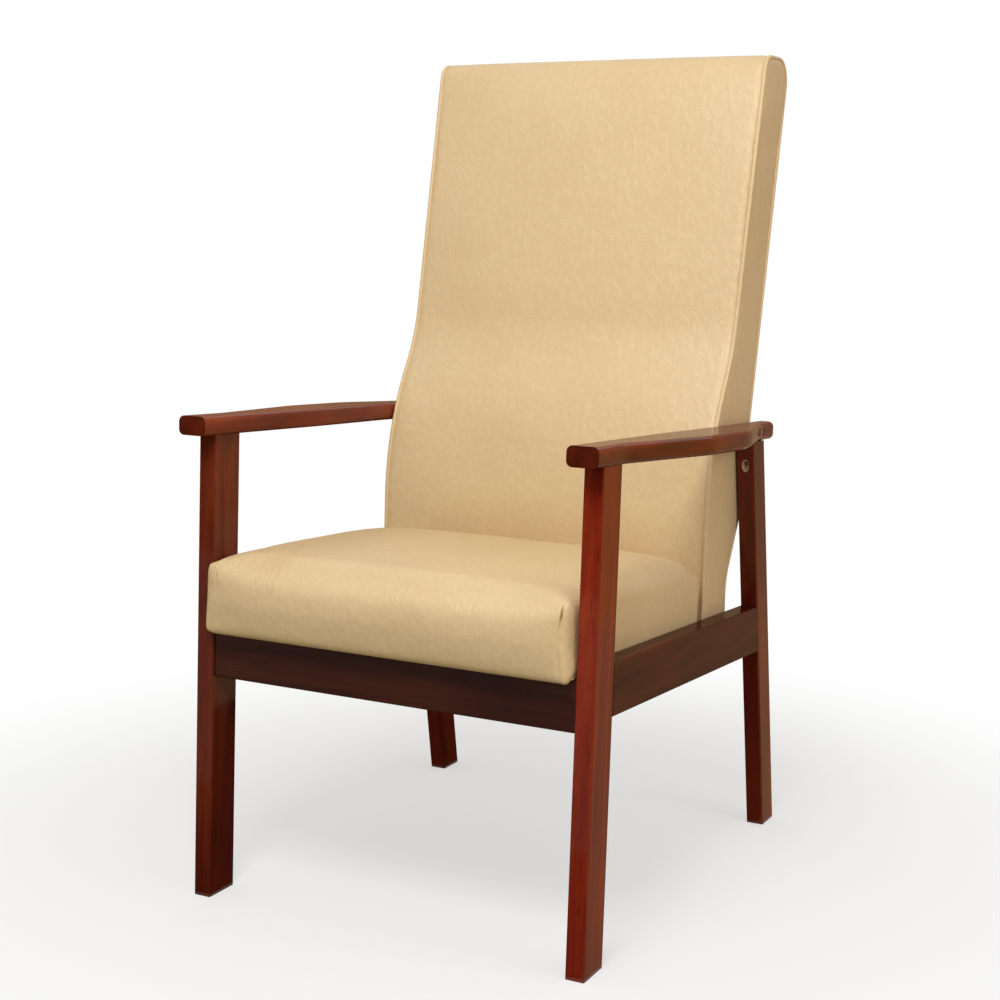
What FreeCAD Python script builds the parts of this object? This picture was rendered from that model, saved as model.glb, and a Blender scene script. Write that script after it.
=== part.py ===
import FreeCAD, Part
import math
import os
import Sketcher

Vector = FreeCAD.Vector
Rotation = FreeCAD.Rotation

# High-back patient chair: wooden show frame, dropped-in seat and tall upholstered back.
# +Z is up, the sitter faces -Y, and left is the sitter's left, +X.
# The origin lies on the floor, in the middle of the chair's width and depth.

# Driving sizes in millimetres, angles in degrees
SIZES = [
    # wooden side frames
    ("frame_width", 596),
    ("leg_thick", 26.5),
    ("foot_reach", 362.3),
    ("front_depth", 55.5),
    ("front_rake", 29),
    ("rear_depth", 47.5),
    ("rear_rake", 109),
    ("leg_round", 2.5),
    ("tilt", 3.5),
    # armrests
    ("arm_height", 640),
    ("arm_tilt", 2.95),
    ("arm_width", 43),
    ("arm_thick", 26),
    ("arm_tail", 46.7),
    ("arm_overhang", 34),
    ("arm_edge_round", 8),
    ("arm_tip_round", 12),
    ("arm_bend_round", 200),
    ("arm_swell", 33),
    # along the arm, from the front leg
    ("arm_swell_start", 50),
    ("arm_swell_full", 263),
    ("arm_inner_bend", 250),
    # along the arm, from its rear end
    ("arm_swell_fall", 222),
    ("arm_swell_end", 67),
    ("arm_inner_end", 192),
    # how far the arm's inner face stands in from the leg's
    ("arm_inner_lip", 1.5),
    # rails of the seat frame
    ("rail_top", 391.5),
    ("rail_height", 69.5),
    ("rail_round", 1.5),
    ("front_rail_top", 377),
    ("front_rail_height", 67),
    ("front_rail_thick", 26),
    ("front_rail_setback", 4.5),
    ("rear_rail_bottom", 294),
    ("rear_rail_height", 55),
    ("rear_rail_thick", 26),
    ("rear_rail_gap", 1.2),
    ("rear_leg_room", 35.5),
    # supports under the seat
    ("bearer_width", 22),
    ("bearer_height", 24),
    ("bearer_start", 100),
    ("bearer_end_gap", 10.5),
    ("block_side", 58),
    ("block_height", 32),
    ("block_gap", 0.2),
    # seat cushion
    ("seat_side_gap", 1.5),
    ("seat_overhang", 20.5),
    ("seat_depth", 441),
    ("seat_thick", 104),
    ("seat_corner", 14),
    ("seat_rear_corner", 30),
    ("seat_roll", 28),
    ("dust_cover", 1),
    ("dust_margin", 14),
    ("board_thick", 12),
    ("cover", 1.5),
    # back cushion, seen from the side
    ("back_side_gap", 2),
    ("seat_back_gap", 7.7),
    ("back_height", 1170),
    ("back_bottom", 308),
    ("back_depth", 101.5),
    ("back_lean", 12),
    ("lumbar_rise", 11),
    ("lumbar_height", 606),
    ("lumbar_round", 400),
    ("waist_height", 745),
    ("waist_set", 96.2),
    ("waist_round", 250),
    ("top_front_round", 26),
    ("top_rear_round", 36),
    ("knee_height", 497),
    ("knee_round", 40),
    ("heel_depth", 93.5),
    ("heel_height", 407.5),
    ("heel_round", 80),
    ("edge_room", 5.5),
    ("piping_diameter", 6),
    ("piping_inset", 2),
    # frame inside the back
    ("panel_gap", 2.6),
    ("panel_thick", 4),
    ("stile_width", 40),
    ("stile_inset", 2),
    ("stile_thick", 36),
    ("frame_drop", 1),
    ("frame_lift", 4),
    ("top_rail_height", 60),
    ("middle_rail_height", 60),
    ("middle_rail_level", 705),
    ("bottom_rail_height", 60),
    ("webbing_width", 50),
    ("webbing_thick", 2),
    ("webbing_pitch", 82),
    ("webbing_margin", 8),
    # fasteners
    ("fit_gap", 0.1),
    ("dowel", 8),
    ("dowel_length", 40),
    ("dowel_spread", 32),
    ("arm_dowel", 8),
    ("arm_dowel_length", 30),
    ("arm_dowel_depth", 21),
    ("arm_dowel_inset", 12),
    ("pocket_drop", 37),
    ("pocket_angle", 25),
    ("pocket_depth", 10),
    ("mouth_length", 16),
    ("mouth_diameter", 10),
    ("screw", 4.5),
    ("screw_head", 8.5),
    ("screw_head_height", 3),
    ("pocket_screw_length", 40),
    ("bearer_screw_length", 36),
    ("block_screw_length", 40),
    ("block_screw_reach", 20),
    ("block_screw_sink", 7),
    ("seat_screw_length", 32),
    ("seat_screw_sink", 11),
    ("seat_screw_side", 36),
    ("seat_screw_front", 8),
    ("seat_screw_end", 18.6),
    ("arm_bolt", 6),
    ("arm_bolt_head", 10),
    ("arm_bolt_head_height", 4.5),
    ("arm_bolt_length", 52),
    ("arm_bolt_sink", 2.5),
    ("arm_bolt_ring", 0.75),
    ("arm_bolt_set", 7.4),
    ("base_bolt", 8),
    ("base_bolt_head", 15),
    ("base_bolt_head_height", 5),
    ("base_bolt_length", 52),
    ("base_bolt_spacing", 300),
    ("base_bolt_lift", 28),
    ("insert_wall", 2),
    ("insert_length", 18),
]
BEARER_SCREWS = 3
TOUCH = 0.01

doc = FreeCAD.newDocument("patient_chair")
dims = doc.addObject("Spreadsheet::Sheet", "dims")
for row, (alias, value) in enumerate(SIZES, 1):
    dims.set(f"A{row}", alias)
    dims.set(f"B{row}", str(value))
    dims.setAlias(f"B{row}", alias)
doc.recompute()

nodes = {}


def size(alias):
    return f"dims.{alias}"


def number(expression):
    return float(dims.evalExpression(expression))


def bind(thing, expressions):
    for path, expression in expressions.items():
        thing.setExpression(path, expression)


def keep(thing, label):
    thing.Label = label
    nodes[label] = thing
    return thing


# Expressions that several pieces share
TILT = "tan(dims.tilt)"
ARM_TILT = "tan(dims.arm_tilt)"
LEAN = "tan(dims.back_lean)"
FRONT_RATIO = "(dims.front_rake / dims.arm_height)"
REAR_RATIO = "(-dims.rear_rake / dims.arm_height)"
LEG_MIDDLE = "(dims.frame_width / 2 - dims.leg_thick / 2)"
LEG_INSIDE = "(dims.frame_width / 2 - dims.leg_thick)"
ARM_ORIGIN = "(-dims.foot_reach + dims.front_rake)"


def front_leg_y(level, depth="0"):
    return f"(-dims.foot_reach + {depth} + {FRONT_RATIO} * ({level}))"


# From front to rear: the seat, the foot of the back, the rear rail, then the rear legs
SEAT_ORIGIN = front_leg_y(size("front_rail_top"), size("front_rail_setback"))
SEAT_REAR = "(dims.seat_depth - dims.seat_overhang)"
BACK_BASE = f"({SEAT_ORIGIN} + cos(dims.tilt) * {SEAT_REAR} + dims.seat_back_gap)"
HEEL = f"({BACK_BASE} + dims.heel_depth)"
REAR_RAIL_FRONT = f"({HEEL} + dims.rear_rail_gap)"
REAR_RAIL_REAR = f"({REAR_RAIL_FRONT} + dims.rear_rail_thick)"
REAR_RAIL_MIDDLE = "(dims.rear_rail_bottom + dims.rear_rail_height / 2)"
LEG_SPACING = (f"({REAR_RAIL_REAR} + dims.rear_leg_room + dims.foot_reach"
               f" - {REAR_RATIO} * {REAR_RAIL_MIDDLE})")


def rear_leg_y(level, depth="0"):
    return f"(-dims.foot_reach + {LEG_SPACING} + {depth} + {REAR_RATIO} * ({level}))"


def tilted_level(level, start, fall, offset, ratio):
    """Height at which a line that falls to the rear crosses a raked leg face."""
    return (f"((({level}) - {fall} * (-dims.foot_reach + {offset} - ({start})))"
            f" / (1 + {fall} * {ratio}))")


# Sketches and simple solids


def origin_plane(body, role):
    return next(item for item in body.Origin.OriginFeatures if item.Role == role)


def draw_outline(sketch, corners):
    """Closed outline through corners (u, v) or (u, v, radius), all given as expressions."""
    count = len(corners)
    spots = [Vector(number(corner[0]), number(corner[1]), 0) for corner in corners]
    radii = [number(corner[2]) if len(corner) == 3 else 0 for corner in corners]
    ends = []
    for index, spot in enumerate(spots):
        before = (spots[index - 1] - spot).normalize()
        after = (spots[(index + 1) % count] - spot).normalize()
        reach = radii[index] / math.tan(before.getAngle(after) / 2) if radii[index] else 0
        ends.append((spot + before * reach, spot + after * reach))
    lines = [
        sketch.addGeometry(Part.LineSegment(ends[index][1], ends[(index + 1) % count][0]))
        for index in range(count)
    ]

    def hold(kind, *where, expression):
        number_now = number(expression)
        index = sketch.addConstraint(Sketcher.Constraint(kind, *where, number_now))
        sketch.setExpression(f"Constraints[{index}]", expression)

    for index, corner in enumerate(corners):
        arriving, leaving = lines[index - 1], lines[index]
        place = (leaving, 1)
        if radii[index]:
            arc_start, arc_end = ends[index]
            middle_line = (spots[index] - (arc_start + arc_end) * 0.5).normalize()
            half_chord = arc_start.distanceToPoint(arc_end) / 2
            rise = radii[index] - math.sqrt(radii[index] ** 2 - half_chord ** 2)
            arc_middle = (arc_start + arc_end) * 0.5 + middle_line * rise
            arc = sketch.addGeometry(Part.Arc(arc_start, arc_middle, arc_end))
            starts_first = sketch.getPoint(arc, 1).distanceToPoint(arc_start) < half_chord
            first, last = (1, 2) if starts_first else (2, 1)
            sketch.addConstraint(Sketcher.Constraint("Tangent", arriving, 2, arc, first))
            sketch.addConstraint(Sketcher.Constraint("Tangent", arc, last, leaving, 1))
            hold("Radius", arc, expression=corner[2])
            point = sketch.addGeometry(Part.Point(spots[index]), True)
            for line in (arriving, leaving):
                sketch.addConstraint(Sketcher.Constraint("PointOnObject", point, 1, line))
            place = (point, 1)
        else:
            sketch.addConstraint(Sketcher.Constraint("Coincident", arriving, 2, leaving, 1))
        hold("DistanceX", -1, 1, *place, expression=corner[0])
        hold("DistanceY", -1, 1, *place, expression=corner[1])


def padded_outline(name, plane, corners, thickness, centred=False):
    """Body of one padded outline; the pad grows from the plane or lies centred on it."""
    body = doc.addObject("PartDesign::Body", name)
    sketch = body.newObject("Sketcher::SketchObject", f"{name}_sketch")
    sketch.AttachmentSupport = (origin_plane(body, plane), [""])
    sketch.MapMode = "FlatFace"
    draw_outline(sketch, corners)
    pad = body.newObject("PartDesign::Pad", f"{name}_pad")
    pad.Profile = sketch
    pad.SideType = "Symmetric" if centred else "One side"
    bind(pad, {"Length": thickness})
    doc.recompute()
    return body


def round_edges(body, radius, chooser):
    """Fillet on the edges of the body's last feature that the chooser accepts."""
    base = body.Tip
    names = [
        f"Edge{index}" for index, edge in enumerate(base.Shape.Edges, 1) if chooser(edge)
    ]
    fillet = body.newObject("PartDesign::Fillet", f"{body.Name}_round")
    fillet.Base = (base, names)
    bind(fillet, {"Radius": radius})
    body.Tip = fillet
    doc.recompute()
    return body


def long_edges(body):
    longest = max(edge.Length for edge in body.Tip.Shape.Edges)
    return lambda edge: edge.Length > longest / 2


def place(thing, x="0", y="0", z="0", axis=None, angle="0"):
    """Bind a placement; a turn goes about the axis by the angle."""
    if axis is not None:
        thing.Placement = FreeCAD.Placement(Vector(), Rotation(axis, number(angle)))
        bind(thing, {"Placement.Rotation.Angle": angle})
    bind(thing, {"Placement.Base.x": x, "Placement.Base.y": y, "Placement.Base.z": z})
    return thing


def mirrored(name, source):
    twin = doc.addObject("Part::Mirroring", name)
    twin.Source = source
    twin.Normal = Vector(1, 0, 0)
    return twin


def group(name, members):
    bundle = doc.addObject("Part::Compound", name)
    bundle.Links = members
    return bundle


def joined(name, members):
    union = doc.addObject("Part::MultiFuse", name)
    union.Shapes = members
    return union


def cut(name, base, tools):
    difference = doc.addObject("Part::Cut", name)
    difference.Base = base
    difference.Tool = tools[0] if len(tools) == 1 else joined(f"{name}_tools", tools)
    return difference


def both_sides(name, members):
    """Members of the left side together with their mirror images."""
    left = group(f"{name}_left_set", members)
    return group(name, members + [mirrored(f"{name}_right_set", left)])


# Ways that rods run, as a turn of the upright rod
UP = (Vector(0, 0, 1), "0")
OUTWARD = (Vector(0, 1, 0), "90")
INWARD = (Vector(0, -1, 0), "90")
FORWARD = (Vector(1, 0, 0), "90")
ALONG_RAIL = (Vector(-1, 0, 0), "90 + dims.tilt")
SEAT_UP = (Vector(-1, 0, 0), "dims.tilt")
SEAT_FORWARD = (Vector(1, 0, 0), "90 - dims.tilt")
ARM_UP = (Vector(-1, 0, 0), "dims.arm_tilt")
UP_REARWARD = (Vector(-1, 0, 0), "dims.pocket_angle")
UP_FORWARD = (Vector(1, 0, 0), "dims.pocket_angle")


def rod(name, spot, way, diameter, length):
    """Round rod that starts at the spot (x, y, z) and runs the given way."""
    cylinder = doc.addObject("Part::Cylinder", name)
    bind(cylinder, {"Radius": f"({diameter}) / 2", "Height": length})
    return place(cylinder, *spot, *way)


def dowel_pair(name, spot, way, diameter=size("dowel"), length=size("dowel_length")):
    """Dowel that starts at the spot, and the slightly larger hole it sits in."""
    pin = rod(name, spot, way, diameter, length)
    hole = rod(f"{name}_hole", spot, way, f"{diameter} + 2 * dims.fit_gap", length)
    return pin, hole


def headed(name, spot, way, shank, length, head, head_height):
    """Screw or bolt whose head starts at the spot, and the hole for its shank."""
    body = rod(f"{name}_shank", spot, way, shank, f"{length} + {head_height}")
    cap = rod(f"{name}_head", spot, way, head, head_height)
    hole = rod(f"{name}_hole", spot, way, f"{shank} + 2 * dims.fit_gap",
               f"{length} + {head_height}")
    return joined(name, [body, cap]), hole


def sunk_screw(name, spot_at, way, sink, length):
    """Wood screw sunk below a face, with its hole and the open mouth over its head.

    spot_at gives the spot at a distance behind the face along the screw's own line.
    """
    mouth = rod(f"{name}_mouth", spot_at("-dims.mouth_length"), way, size("mouth_diameter"),
                f"dims.mouth_length + {sink}")
    pin, hole = headed(name, spot_at(f"({sink} - dims.screw_head_height)"), way, size("screw"),
                       length, size("screw_head"), size("screw_head_height"))
    return pin, [hole, mouth]


# Legs of the left side


def arm_level(offset, ratio):
    return tilted_level(size("arm_height"), ARM_ORIGIN, ARM_TILT, offset, ratio)


front_top_rear = arm_level(size("front_depth"), FRONT_RATIO)
rear_top_front = arm_level(LEG_SPACING, REAR_RATIO)
rear_top_rear = arm_level(f"({LEG_SPACING} + dims.rear_depth)", REAR_RATIO)

front_leg = padded_outline("front_leg_blank", "YZ_Plane", [
    (front_leg_y("0"), "0"),
    (front_leg_y("0", size("front_depth")), "0"),
    (front_leg_y(front_top_rear, size("front_depth")), front_top_rear),
    (front_leg_y(size("arm_height")), size("arm_height")),
], size("leg_thick"))
rear_leg = padded_outline("rear_leg_blank", "YZ_Plane", [
    (rear_leg_y("0"), "0"),
    (rear_leg_y("0", size("rear_depth")), "0"),
    (rear_leg_y(rear_top_rear, size("rear_depth")), rear_top_rear),
    (rear_leg_y(rear_top_front), rear_top_front),
], size("leg_thick"))
for leg in (front_leg, rear_leg):
    round_edges(leg, size("leg_round"), long_edges(leg))
    place(leg, x=LEG_INSIDE)

# Side rail of the left side, flush with both faces of the legs

rail_start = front_leg_y(size("rail_top"), size("front_depth"))
rail_bottom = "(dims.rail_top - dims.rail_height)"


def rail_level(level, offset, ratio):
    return tilted_level(level, rail_start, TILT, offset, ratio)


rail_front_low = rail_level(rail_bottom, size("front_depth"), FRONT_RATIO)
rail_rear_high = rail_level(size("rail_top"), LEG_SPACING, REAR_RATIO)
rail_rear_low = rail_level(rail_bottom, LEG_SPACING, REAR_RATIO)
side_rail = padded_outline("side_rail_blank", "YZ_Plane", [
    (front_leg_y(rail_front_low, size("front_depth")), rail_front_low),
    (rear_leg_y(rail_rear_low), rail_rear_low),
    (rear_leg_y(rail_rear_high), rail_rear_high),
    (rail_start, size("rail_top")),
], size("leg_thick"))
round_edges(side_rail, size("rail_round"), long_edges(side_rail))
place(side_rail, x=LEG_INSIDE)

# Front rail between the legs, its top sloped like the seat

front_rail_bottom = "(dims.front_rail_top - dims.front_rail_height)"
front_rail_rear = "(dims.front_rail_setback + dims.front_rail_thick)"
front_rail_rear_top = f"(dims.front_rail_top - {TILT} * dims.front_rail_thick)"
between_legs = "(dims.frame_width - 2 * dims.leg_thick)"
front_rail = padded_outline("front_rail_blank", "YZ_Plane", [
    (front_leg_y(front_rail_bottom, size("front_rail_setback")), front_rail_bottom),
    (front_leg_y(front_rail_bottom, front_rail_rear), front_rail_bottom),
    (front_leg_y(front_rail_rear_top, front_rail_rear), front_rail_rear_top),
    (front_leg_y(size("front_rail_top"), size("front_rail_setback")), size("front_rail_top")),
], between_legs, centred=True)
round_edges(front_rail, size("rail_round"), long_edges(front_rail))

# Rear rail between the side rails, close behind the foot of the back

rear_rail_top = "(dims.rear_rail_bottom + dims.rear_rail_height)"
rear_rail = padded_outline("rear_rail_blank", "YZ_Plane", [
    (REAR_RAIL_FRONT, size("rear_rail_bottom")),
    (REAR_RAIL_REAR, size("rear_rail_bottom")),
    (REAR_RAIL_REAR, rear_rail_top),
    (REAR_RAIL_FRONT, rear_rail_top),
], between_legs, centred=True)
round_edges(rear_rail, size("rail_round"), long_edges(rear_rail))

# Armrest of the left side, drawn in plan and tilted down to the rear

arm_half = "(dims.arm_width / 2)"
leg_half = "(dims.leg_thick / 2)"
arm_full = f"({arm_half} + dims.arm_swell)"
arm_inner = f"(-{leg_half} - dims.arm_inner_lip)"
arm_end = (f"(({rear_leg_y(rear_top_rear, size('rear_depth'))} - {ARM_ORIGIN})"
           " / cos(dims.arm_tilt) + dims.arm_tail)")
arm_bend = size("arm_bend_round")
arm_tip = size("arm_tip_round")
armrest = padded_outline("armrest_blank", "XY_Plane", [
    (f"-{arm_half}", "-dims.arm_overhang"),
    (arm_half, "-dims.arm_overhang"),
    (arm_half, size("arm_swell_start"), arm_bend),
    (arm_full, size("arm_swell_full"), arm_bend),
    (arm_full, f"({arm_end} - dims.arm_swell_fall)", arm_bend),
    (f"({leg_half} + dims.leg_round)", f"({arm_end} - dims.arm_swell_end)", arm_bend),
    (leg_half, arm_end, arm_tip),
    (arm_inner, arm_end, arm_tip),
    (arm_inner, f"({arm_end} - dims.arm_inner_end)", arm_bend),
    (f"-{arm_half}", size("arm_inner_bend"), arm_bend),
], size("arm_thick"))


def arm_side_edge(edge):
    middle = edge.valueAt((edge.FirstParameter + edge.LastParameter) / 2)
    level = edge.BoundBox.ZLength < TOUCH
    return level and middle.y > -number("dims.arm_overhang") + TOUCH


round_edges(armrest, size("arm_edge_round"), arm_side_edge)
place(armrest, LEG_MIDDLE, ARM_ORIGIN, size("arm_height"), *ARM_UP)

# Places in the tilted frame of the seat, whose origin is the front rail's front top edge


def seat_spot(x, along, up):
    """Spot in the tilted frame of the seat, as expressions in the chair's frame."""
    y = f"({SEAT_ORIGIN} + cos(dims.tilt) * ({along}) + sin(dims.tilt) * ({up}))"
    z = f"(dims.front_rail_top - sin(dims.tilt) * ({along}) + cos(dims.tilt) * ({up}))"
    return x, y, z


def arm_spot(x, along, up):
    """Spot in the tilted frame of the armrest, as expressions in the chair's frame."""
    y = f"({ARM_ORIGIN} + cos(dims.arm_tilt) * ({along}) + sin(dims.arm_tilt) * ({up}))"
    z = f"(dims.arm_height - sin(dims.arm_tilt) * ({along}) + cos(dims.arm_tilt) * ({up}))"
    return x, y, z


# Seat bearer on the inner face of the side rail, and corner block behind the front rail

bearer_length = f"({SEAT_REAR} - dims.bearer_start - dims.bearer_end_gap)"
bearer = doc.addObject("Part::Box", "bearer_blank")
bind(bearer, {"Length": size("bearer_width"), "Width": bearer_length,
              "Height": size("bearer_height")})
bearer_inside = f"({LEG_INSIDE} - dims.bearer_width)"
place(bearer, *seat_spot(bearer_inside, size("bearer_start"), "-dims.bearer_height"), *SEAT_UP)

# The front rail leans with the legs, so its lower edge comes nearest to the block
rail_lean = f"(sin(dims.tilt) - {FRONT_RATIO} * cos(dims.tilt))"
block_front = (f"(dims.front_rail_thick / cos(dims.tilt) + dims.block_height * {rail_lean}"
               " + dims.block_gap)")
block_side = f"({LEG_INSIDE} - dims.block_gap)"
block = padded_outline("corner_block_blank", "XY_Plane", [
    (block_side, block_front),
    (block_side, f"({block_front} + dims.block_side)"),
    (f"({block_side} - dims.block_side)", block_front),
], size("block_height"))
place(block, *seat_spot("0", "0", "-dims.block_height"), *SEAT_UP)

# Seat: dust cover, board, foam and cover, stacked in the tilted frame

seat_front = "-dims.seat_overhang"
seat_half = f"({LEG_INSIDE} - dims.seat_side_gap)"


def seat_outline(inset, rounded=True):
    """Rectangle of the seat, smaller by the inset all round."""
    half = f"({seat_half} - {inset})"
    front = f"({seat_front} + {inset})"
    rear = f"({SEAT_REAR} - {inset})"
    spots = [(f"-{half}", front), (half, front), (half, rear), (f"-{half}", rear)]
    if not rounded:
        return spots
    radii = ["seat_corner"] * 2 + ["seat_rear_corner"] * 2
    return [(*spot, f"({size(radius)} - {inset})") for spot, radius in zip(spots, radii)]


def seat_layer(name, outline, bottom, height):
    layer = padded_outline(name, "XY_Plane", outline, height)
    return place(layer, *seat_spot("0", "0", bottom), *SEAT_UP)


def top_edges(body):
    highest = body.Tip.Shape.BoundBox.ZMax
    return lambda edge: edge.BoundBox.ZMin > highest - TOUCH


foam_inset = "(dims.cover + dims.fit_gap)"
board_top = "(dims.dust_cover + dims.board_thick)"


def domed_layer(name, inset, bottom):
    """Layer that reaches up to the inset below the seat's top, with a rolled top edge."""
    layer = seat_layer(name, seat_outline(inset), bottom,
                       f"(dims.seat_thick - {inset} - {bottom})")
    return round_edges(layer, f"(dims.seat_roll - {inset})", top_edges(layer))


dust_cover = seat_layer("seat_dust_cover_sheet", seat_outline(size("dust_margin"), False), "0",
                        size("dust_cover"))
board = seat_layer("seat_board_blank", seat_outline(size("cover")), size("dust_cover"),
                   size("board_thick"))
seat_foam = domed_layer("seat_foam_block", foam_inset, board_top)
seat_filling = domed_layer("seat_filling", size("cover"), "0")
seat_skin = domed_layer("seat_cover_blank", "0", size("dust_cover"))

# Back: one side outline, from which cover, foam, side panels and piping are taken


def back_front_y(level):
    return f"({BACK_BASE} + dims.waist_set + {LEAN} * ({level} - dims.waist_height))"


def back_rear_y(level):
    return f"({back_front_y(level)} + dims.back_depth)"


top_rear_y = back_rear_y(size("back_height"))
back_outline = doc.addObject("Sketcher::SketchObject", "back_outline")
back_outline.Placement = FreeCAD.Placement(Vector(), Rotation(Vector(1, 1, 1), 120))
draw_outline(back_outline, [
    (BACK_BASE, size("back_bottom")),
    (f"({BACK_BASE} + dims.lumbar_rise)", size("lumbar_height"), size("lumbar_round")),
    (back_front_y(size("waist_height")), size("waist_height"), size("waist_round")),
    (back_front_y(size("back_height")), size("back_height"), size("top_front_round")),
    (top_rear_y, size("back_height"), size("top_rear_round")),
    (back_rear_y(size("knee_height")), size("knee_height"), size("knee_round")),
    (HEEL, size("heel_height"), size("heel_round")),
    (HEEL, size("back_bottom")),
])
doc.recompute()


def inset_outline(name, inset):
    inner = doc.addObject("Part::Offset2D", name)
    inner.Source = back_outline
    inner.Join = "Intersection"
    bind(inner, {"Value": f"-({inset})"})
    return inner


def back_slice(name, profile, half_width):
    """Profile drawn out to both sides of the middle plane."""
    block_piece = doc.addObject("Part::Extrusion", name)
    block_piece.Base = profile
    block_piece.DirMode = "Custom"
    block_piece.Dir = Vector(1, 0, 0)
    block_piece.Solid = True
    bind(block_piece, {"LengthFwd": half_width, "LengthRev": half_width})
    return block_piece


back_half = f"({LEG_INSIDE} - dims.arm_inner_lip - dims.back_side_gap)"
wrap_half = f"({back_half} - dims.edge_room)"
gusset_inside = f"({back_half} - dims.cover)"
cover_inside = inset_outline("back_cover_inside", size("cover"))
foam_outline = inset_outline("back_foam_outline", foam_inset)
gusset_outline = inset_outline("back_gusset_outline", size("edge_room"))
piping_line = inset_outline("back_piping_line", size("piping_inset"))

wrap_outer = back_slice("back_wrap_outer", back_outline, wrap_half)
wrap_inner = back_slice("back_wrap_inner", cover_inside, wrap_half)
foam_middle = back_slice("back_foam_middle", foam_outline, wrap_half)
foam_edges = back_slice("back_foam_edges", gusset_outline, f"({back_half} - {foam_inset})")

gusset = doc.addObject("Part::Extrusion", "back_gusset")
gusset.Base = gusset_outline
gusset.DirMode = "Custom"
gusset.Dir = Vector(1, 0, 0)
gusset.Solid = True
bind(gusset, {"LengthFwd": size("cover"), "Placement.Base.x": gusset_inside})

# Frame of the back: boards that follow the rear outline at a shift towards the front

top_curve = "(dims.top_rear_round * cos(dims.back_lean) / tan(45 - dims.back_lean / 2))"
frame_top = f"(dims.back_height - {top_curve} - dims.frame_drop)"
frame_bottom = "(dims.back_bottom + dims.frame_lift)"
panel_front = "(dims.panel_gap + dims.panel_thick)"
stile_front = f"({panel_front} + dims.stile_thick)"
webbing_front = f"({stile_front} + dims.webbing_thick / cos(dims.back_lean) + dims.fit_gap)"


def rear_line(shift, bottom):
    """Rear outline from the top down, moved forward by the shift."""
    return [
        (f"({back_rear_y(frame_top)} - {shift})", frame_top),
        (f"({back_rear_y(size('knee_height'))} - {shift})", size("knee_height")),
        (f"({HEEL} - {shift})", size("heel_height")),
        (f"({HEEL} - {shift})", bottom),
    ]


def bent_board(name, rear, front, thickness, centred=False):
    """Board whose side view lies between two shifts of the rear outline."""
    corners = rear_line(rear, frame_bottom) + rear_line(front, frame_bottom)[::-1]
    return padded_outline(name, "YZ_Plane", corners, thickness, centred)


def cross_rail(name, low, high, line):
    """Rail between the stiles, cut level at its two heights."""
    corners = [(f"({line(low)} - {panel_front})", low), (f"({line(high)} - {panel_front})", high),
               (f"({line(high)} - {stile_front})", high), (f"({line(low)} - {stile_front})", low)]
    return padded_outline(name, "YZ_Plane", corners, f"(2 * {stile_inside})", centred=True)


stile_outside = f"({back_half} - dims.stile_inset)"
stile_inside = f"({stile_outside} - dims.stile_width)"
stile = bent_board("back_stile_blank", panel_front, stile_front, size("stile_width"))
place(stile, x=stile_inside)
rear_panel = bent_board("back_rear_panel_blank", size("panel_gap"), panel_front,
                        f"(2 * {wrap_half})", centred=True)

top_rail_low = f"({frame_top} - dims.top_rail_height)"
middle_rail_low = "(dims.middle_rail_level - dims.middle_rail_height / 2)"
middle_rail_high = "(dims.middle_rail_level + dims.middle_rail_height / 2)"
bottom_rail_high = f"({frame_bottom} + dims.bottom_rail_height)"
top_rail = cross_rail("back_top_rail_blank", top_rail_low, frame_top, back_rear_y)
middle_rail = cross_rail("back_middle_rail_blank", middle_rail_low, middle_rail_high, back_rear_y)
bottom_rail = cross_rail("back_bottom_rail_blank", frame_bottom, bottom_rail_high,
                         lambda level: HEEL)

zone_rear = f"({top_rear_y} + dims.back_depth)"
zone_bottom = "(dims.back_bottom - dims.frame_lift)"
frame_zone = padded_outline(
    "back_frame_zone", "YZ_Plane",
    rear_line(webbing_front, zone_bottom) + [(zone_rear, zone_bottom), (zone_rear, frame_top)],
    f"(4 * {back_half})", centred=True)

# Webbing straps across the front faces of the stiles, from the top rail down to the knee

strap_half = f"({stile_outside} - dims.webbing_margin)"
strap_count = int(number(f"({frame_top} - dims.knee_height) / dims.webbing_pitch"))
straps = []
for index in range(strap_count):
    strap = doc.addObject("Part::Box", f"webbing_strap_{index + 1}")
    bind(strap, {"Length": f"2 * {strap_half}", "Width": size("webbing_thick"),
                 "Height": size("webbing_width")})
    foot = f"({frame_top} - dims.webbing_width - {index} * dims.webbing_pitch)"
    straps.append(place(
        strap, f"-{strap_half}",
        f"({back_rear_y(foot)} - {stile_front} - dims.webbing_thick / cos(dims.back_lean))",
        foot, Vector(-1, 0, 0), size("back_lean")))

# Piping round each side panel, open along the bottom

piping_x = f"({back_half} - dims.piping_inset)"
piping_section = doc.addObject("Part::Circle", "piping_section")
bind(piping_section, {"Radius": "dims.piping_diameter / 2"})
place(piping_section, "0", f"({BACK_BASE} + dims.piping_inset)",
      "(dims.back_bottom + dims.piping_inset)")
doc.recompute()
piping_floor = number("dims.back_bottom + dims.piping_inset") + TOUCH
piping_edges = [
    f"Edge{index}" for index, edge in enumerate(piping_line.Shape.Edges, 1)
    if edge.BoundBox.ZMax > piping_floor
]
piping = doc.addObject("Part::Sweep", "piping_tube")
piping.Sections = [piping_section]
piping.Spine = (piping_line, piping_edges)
piping.Solid = True
bind(piping, {"Placement.Base.x": piping_x})

# Dowels of the rails, two in each joint of the left side


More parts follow.
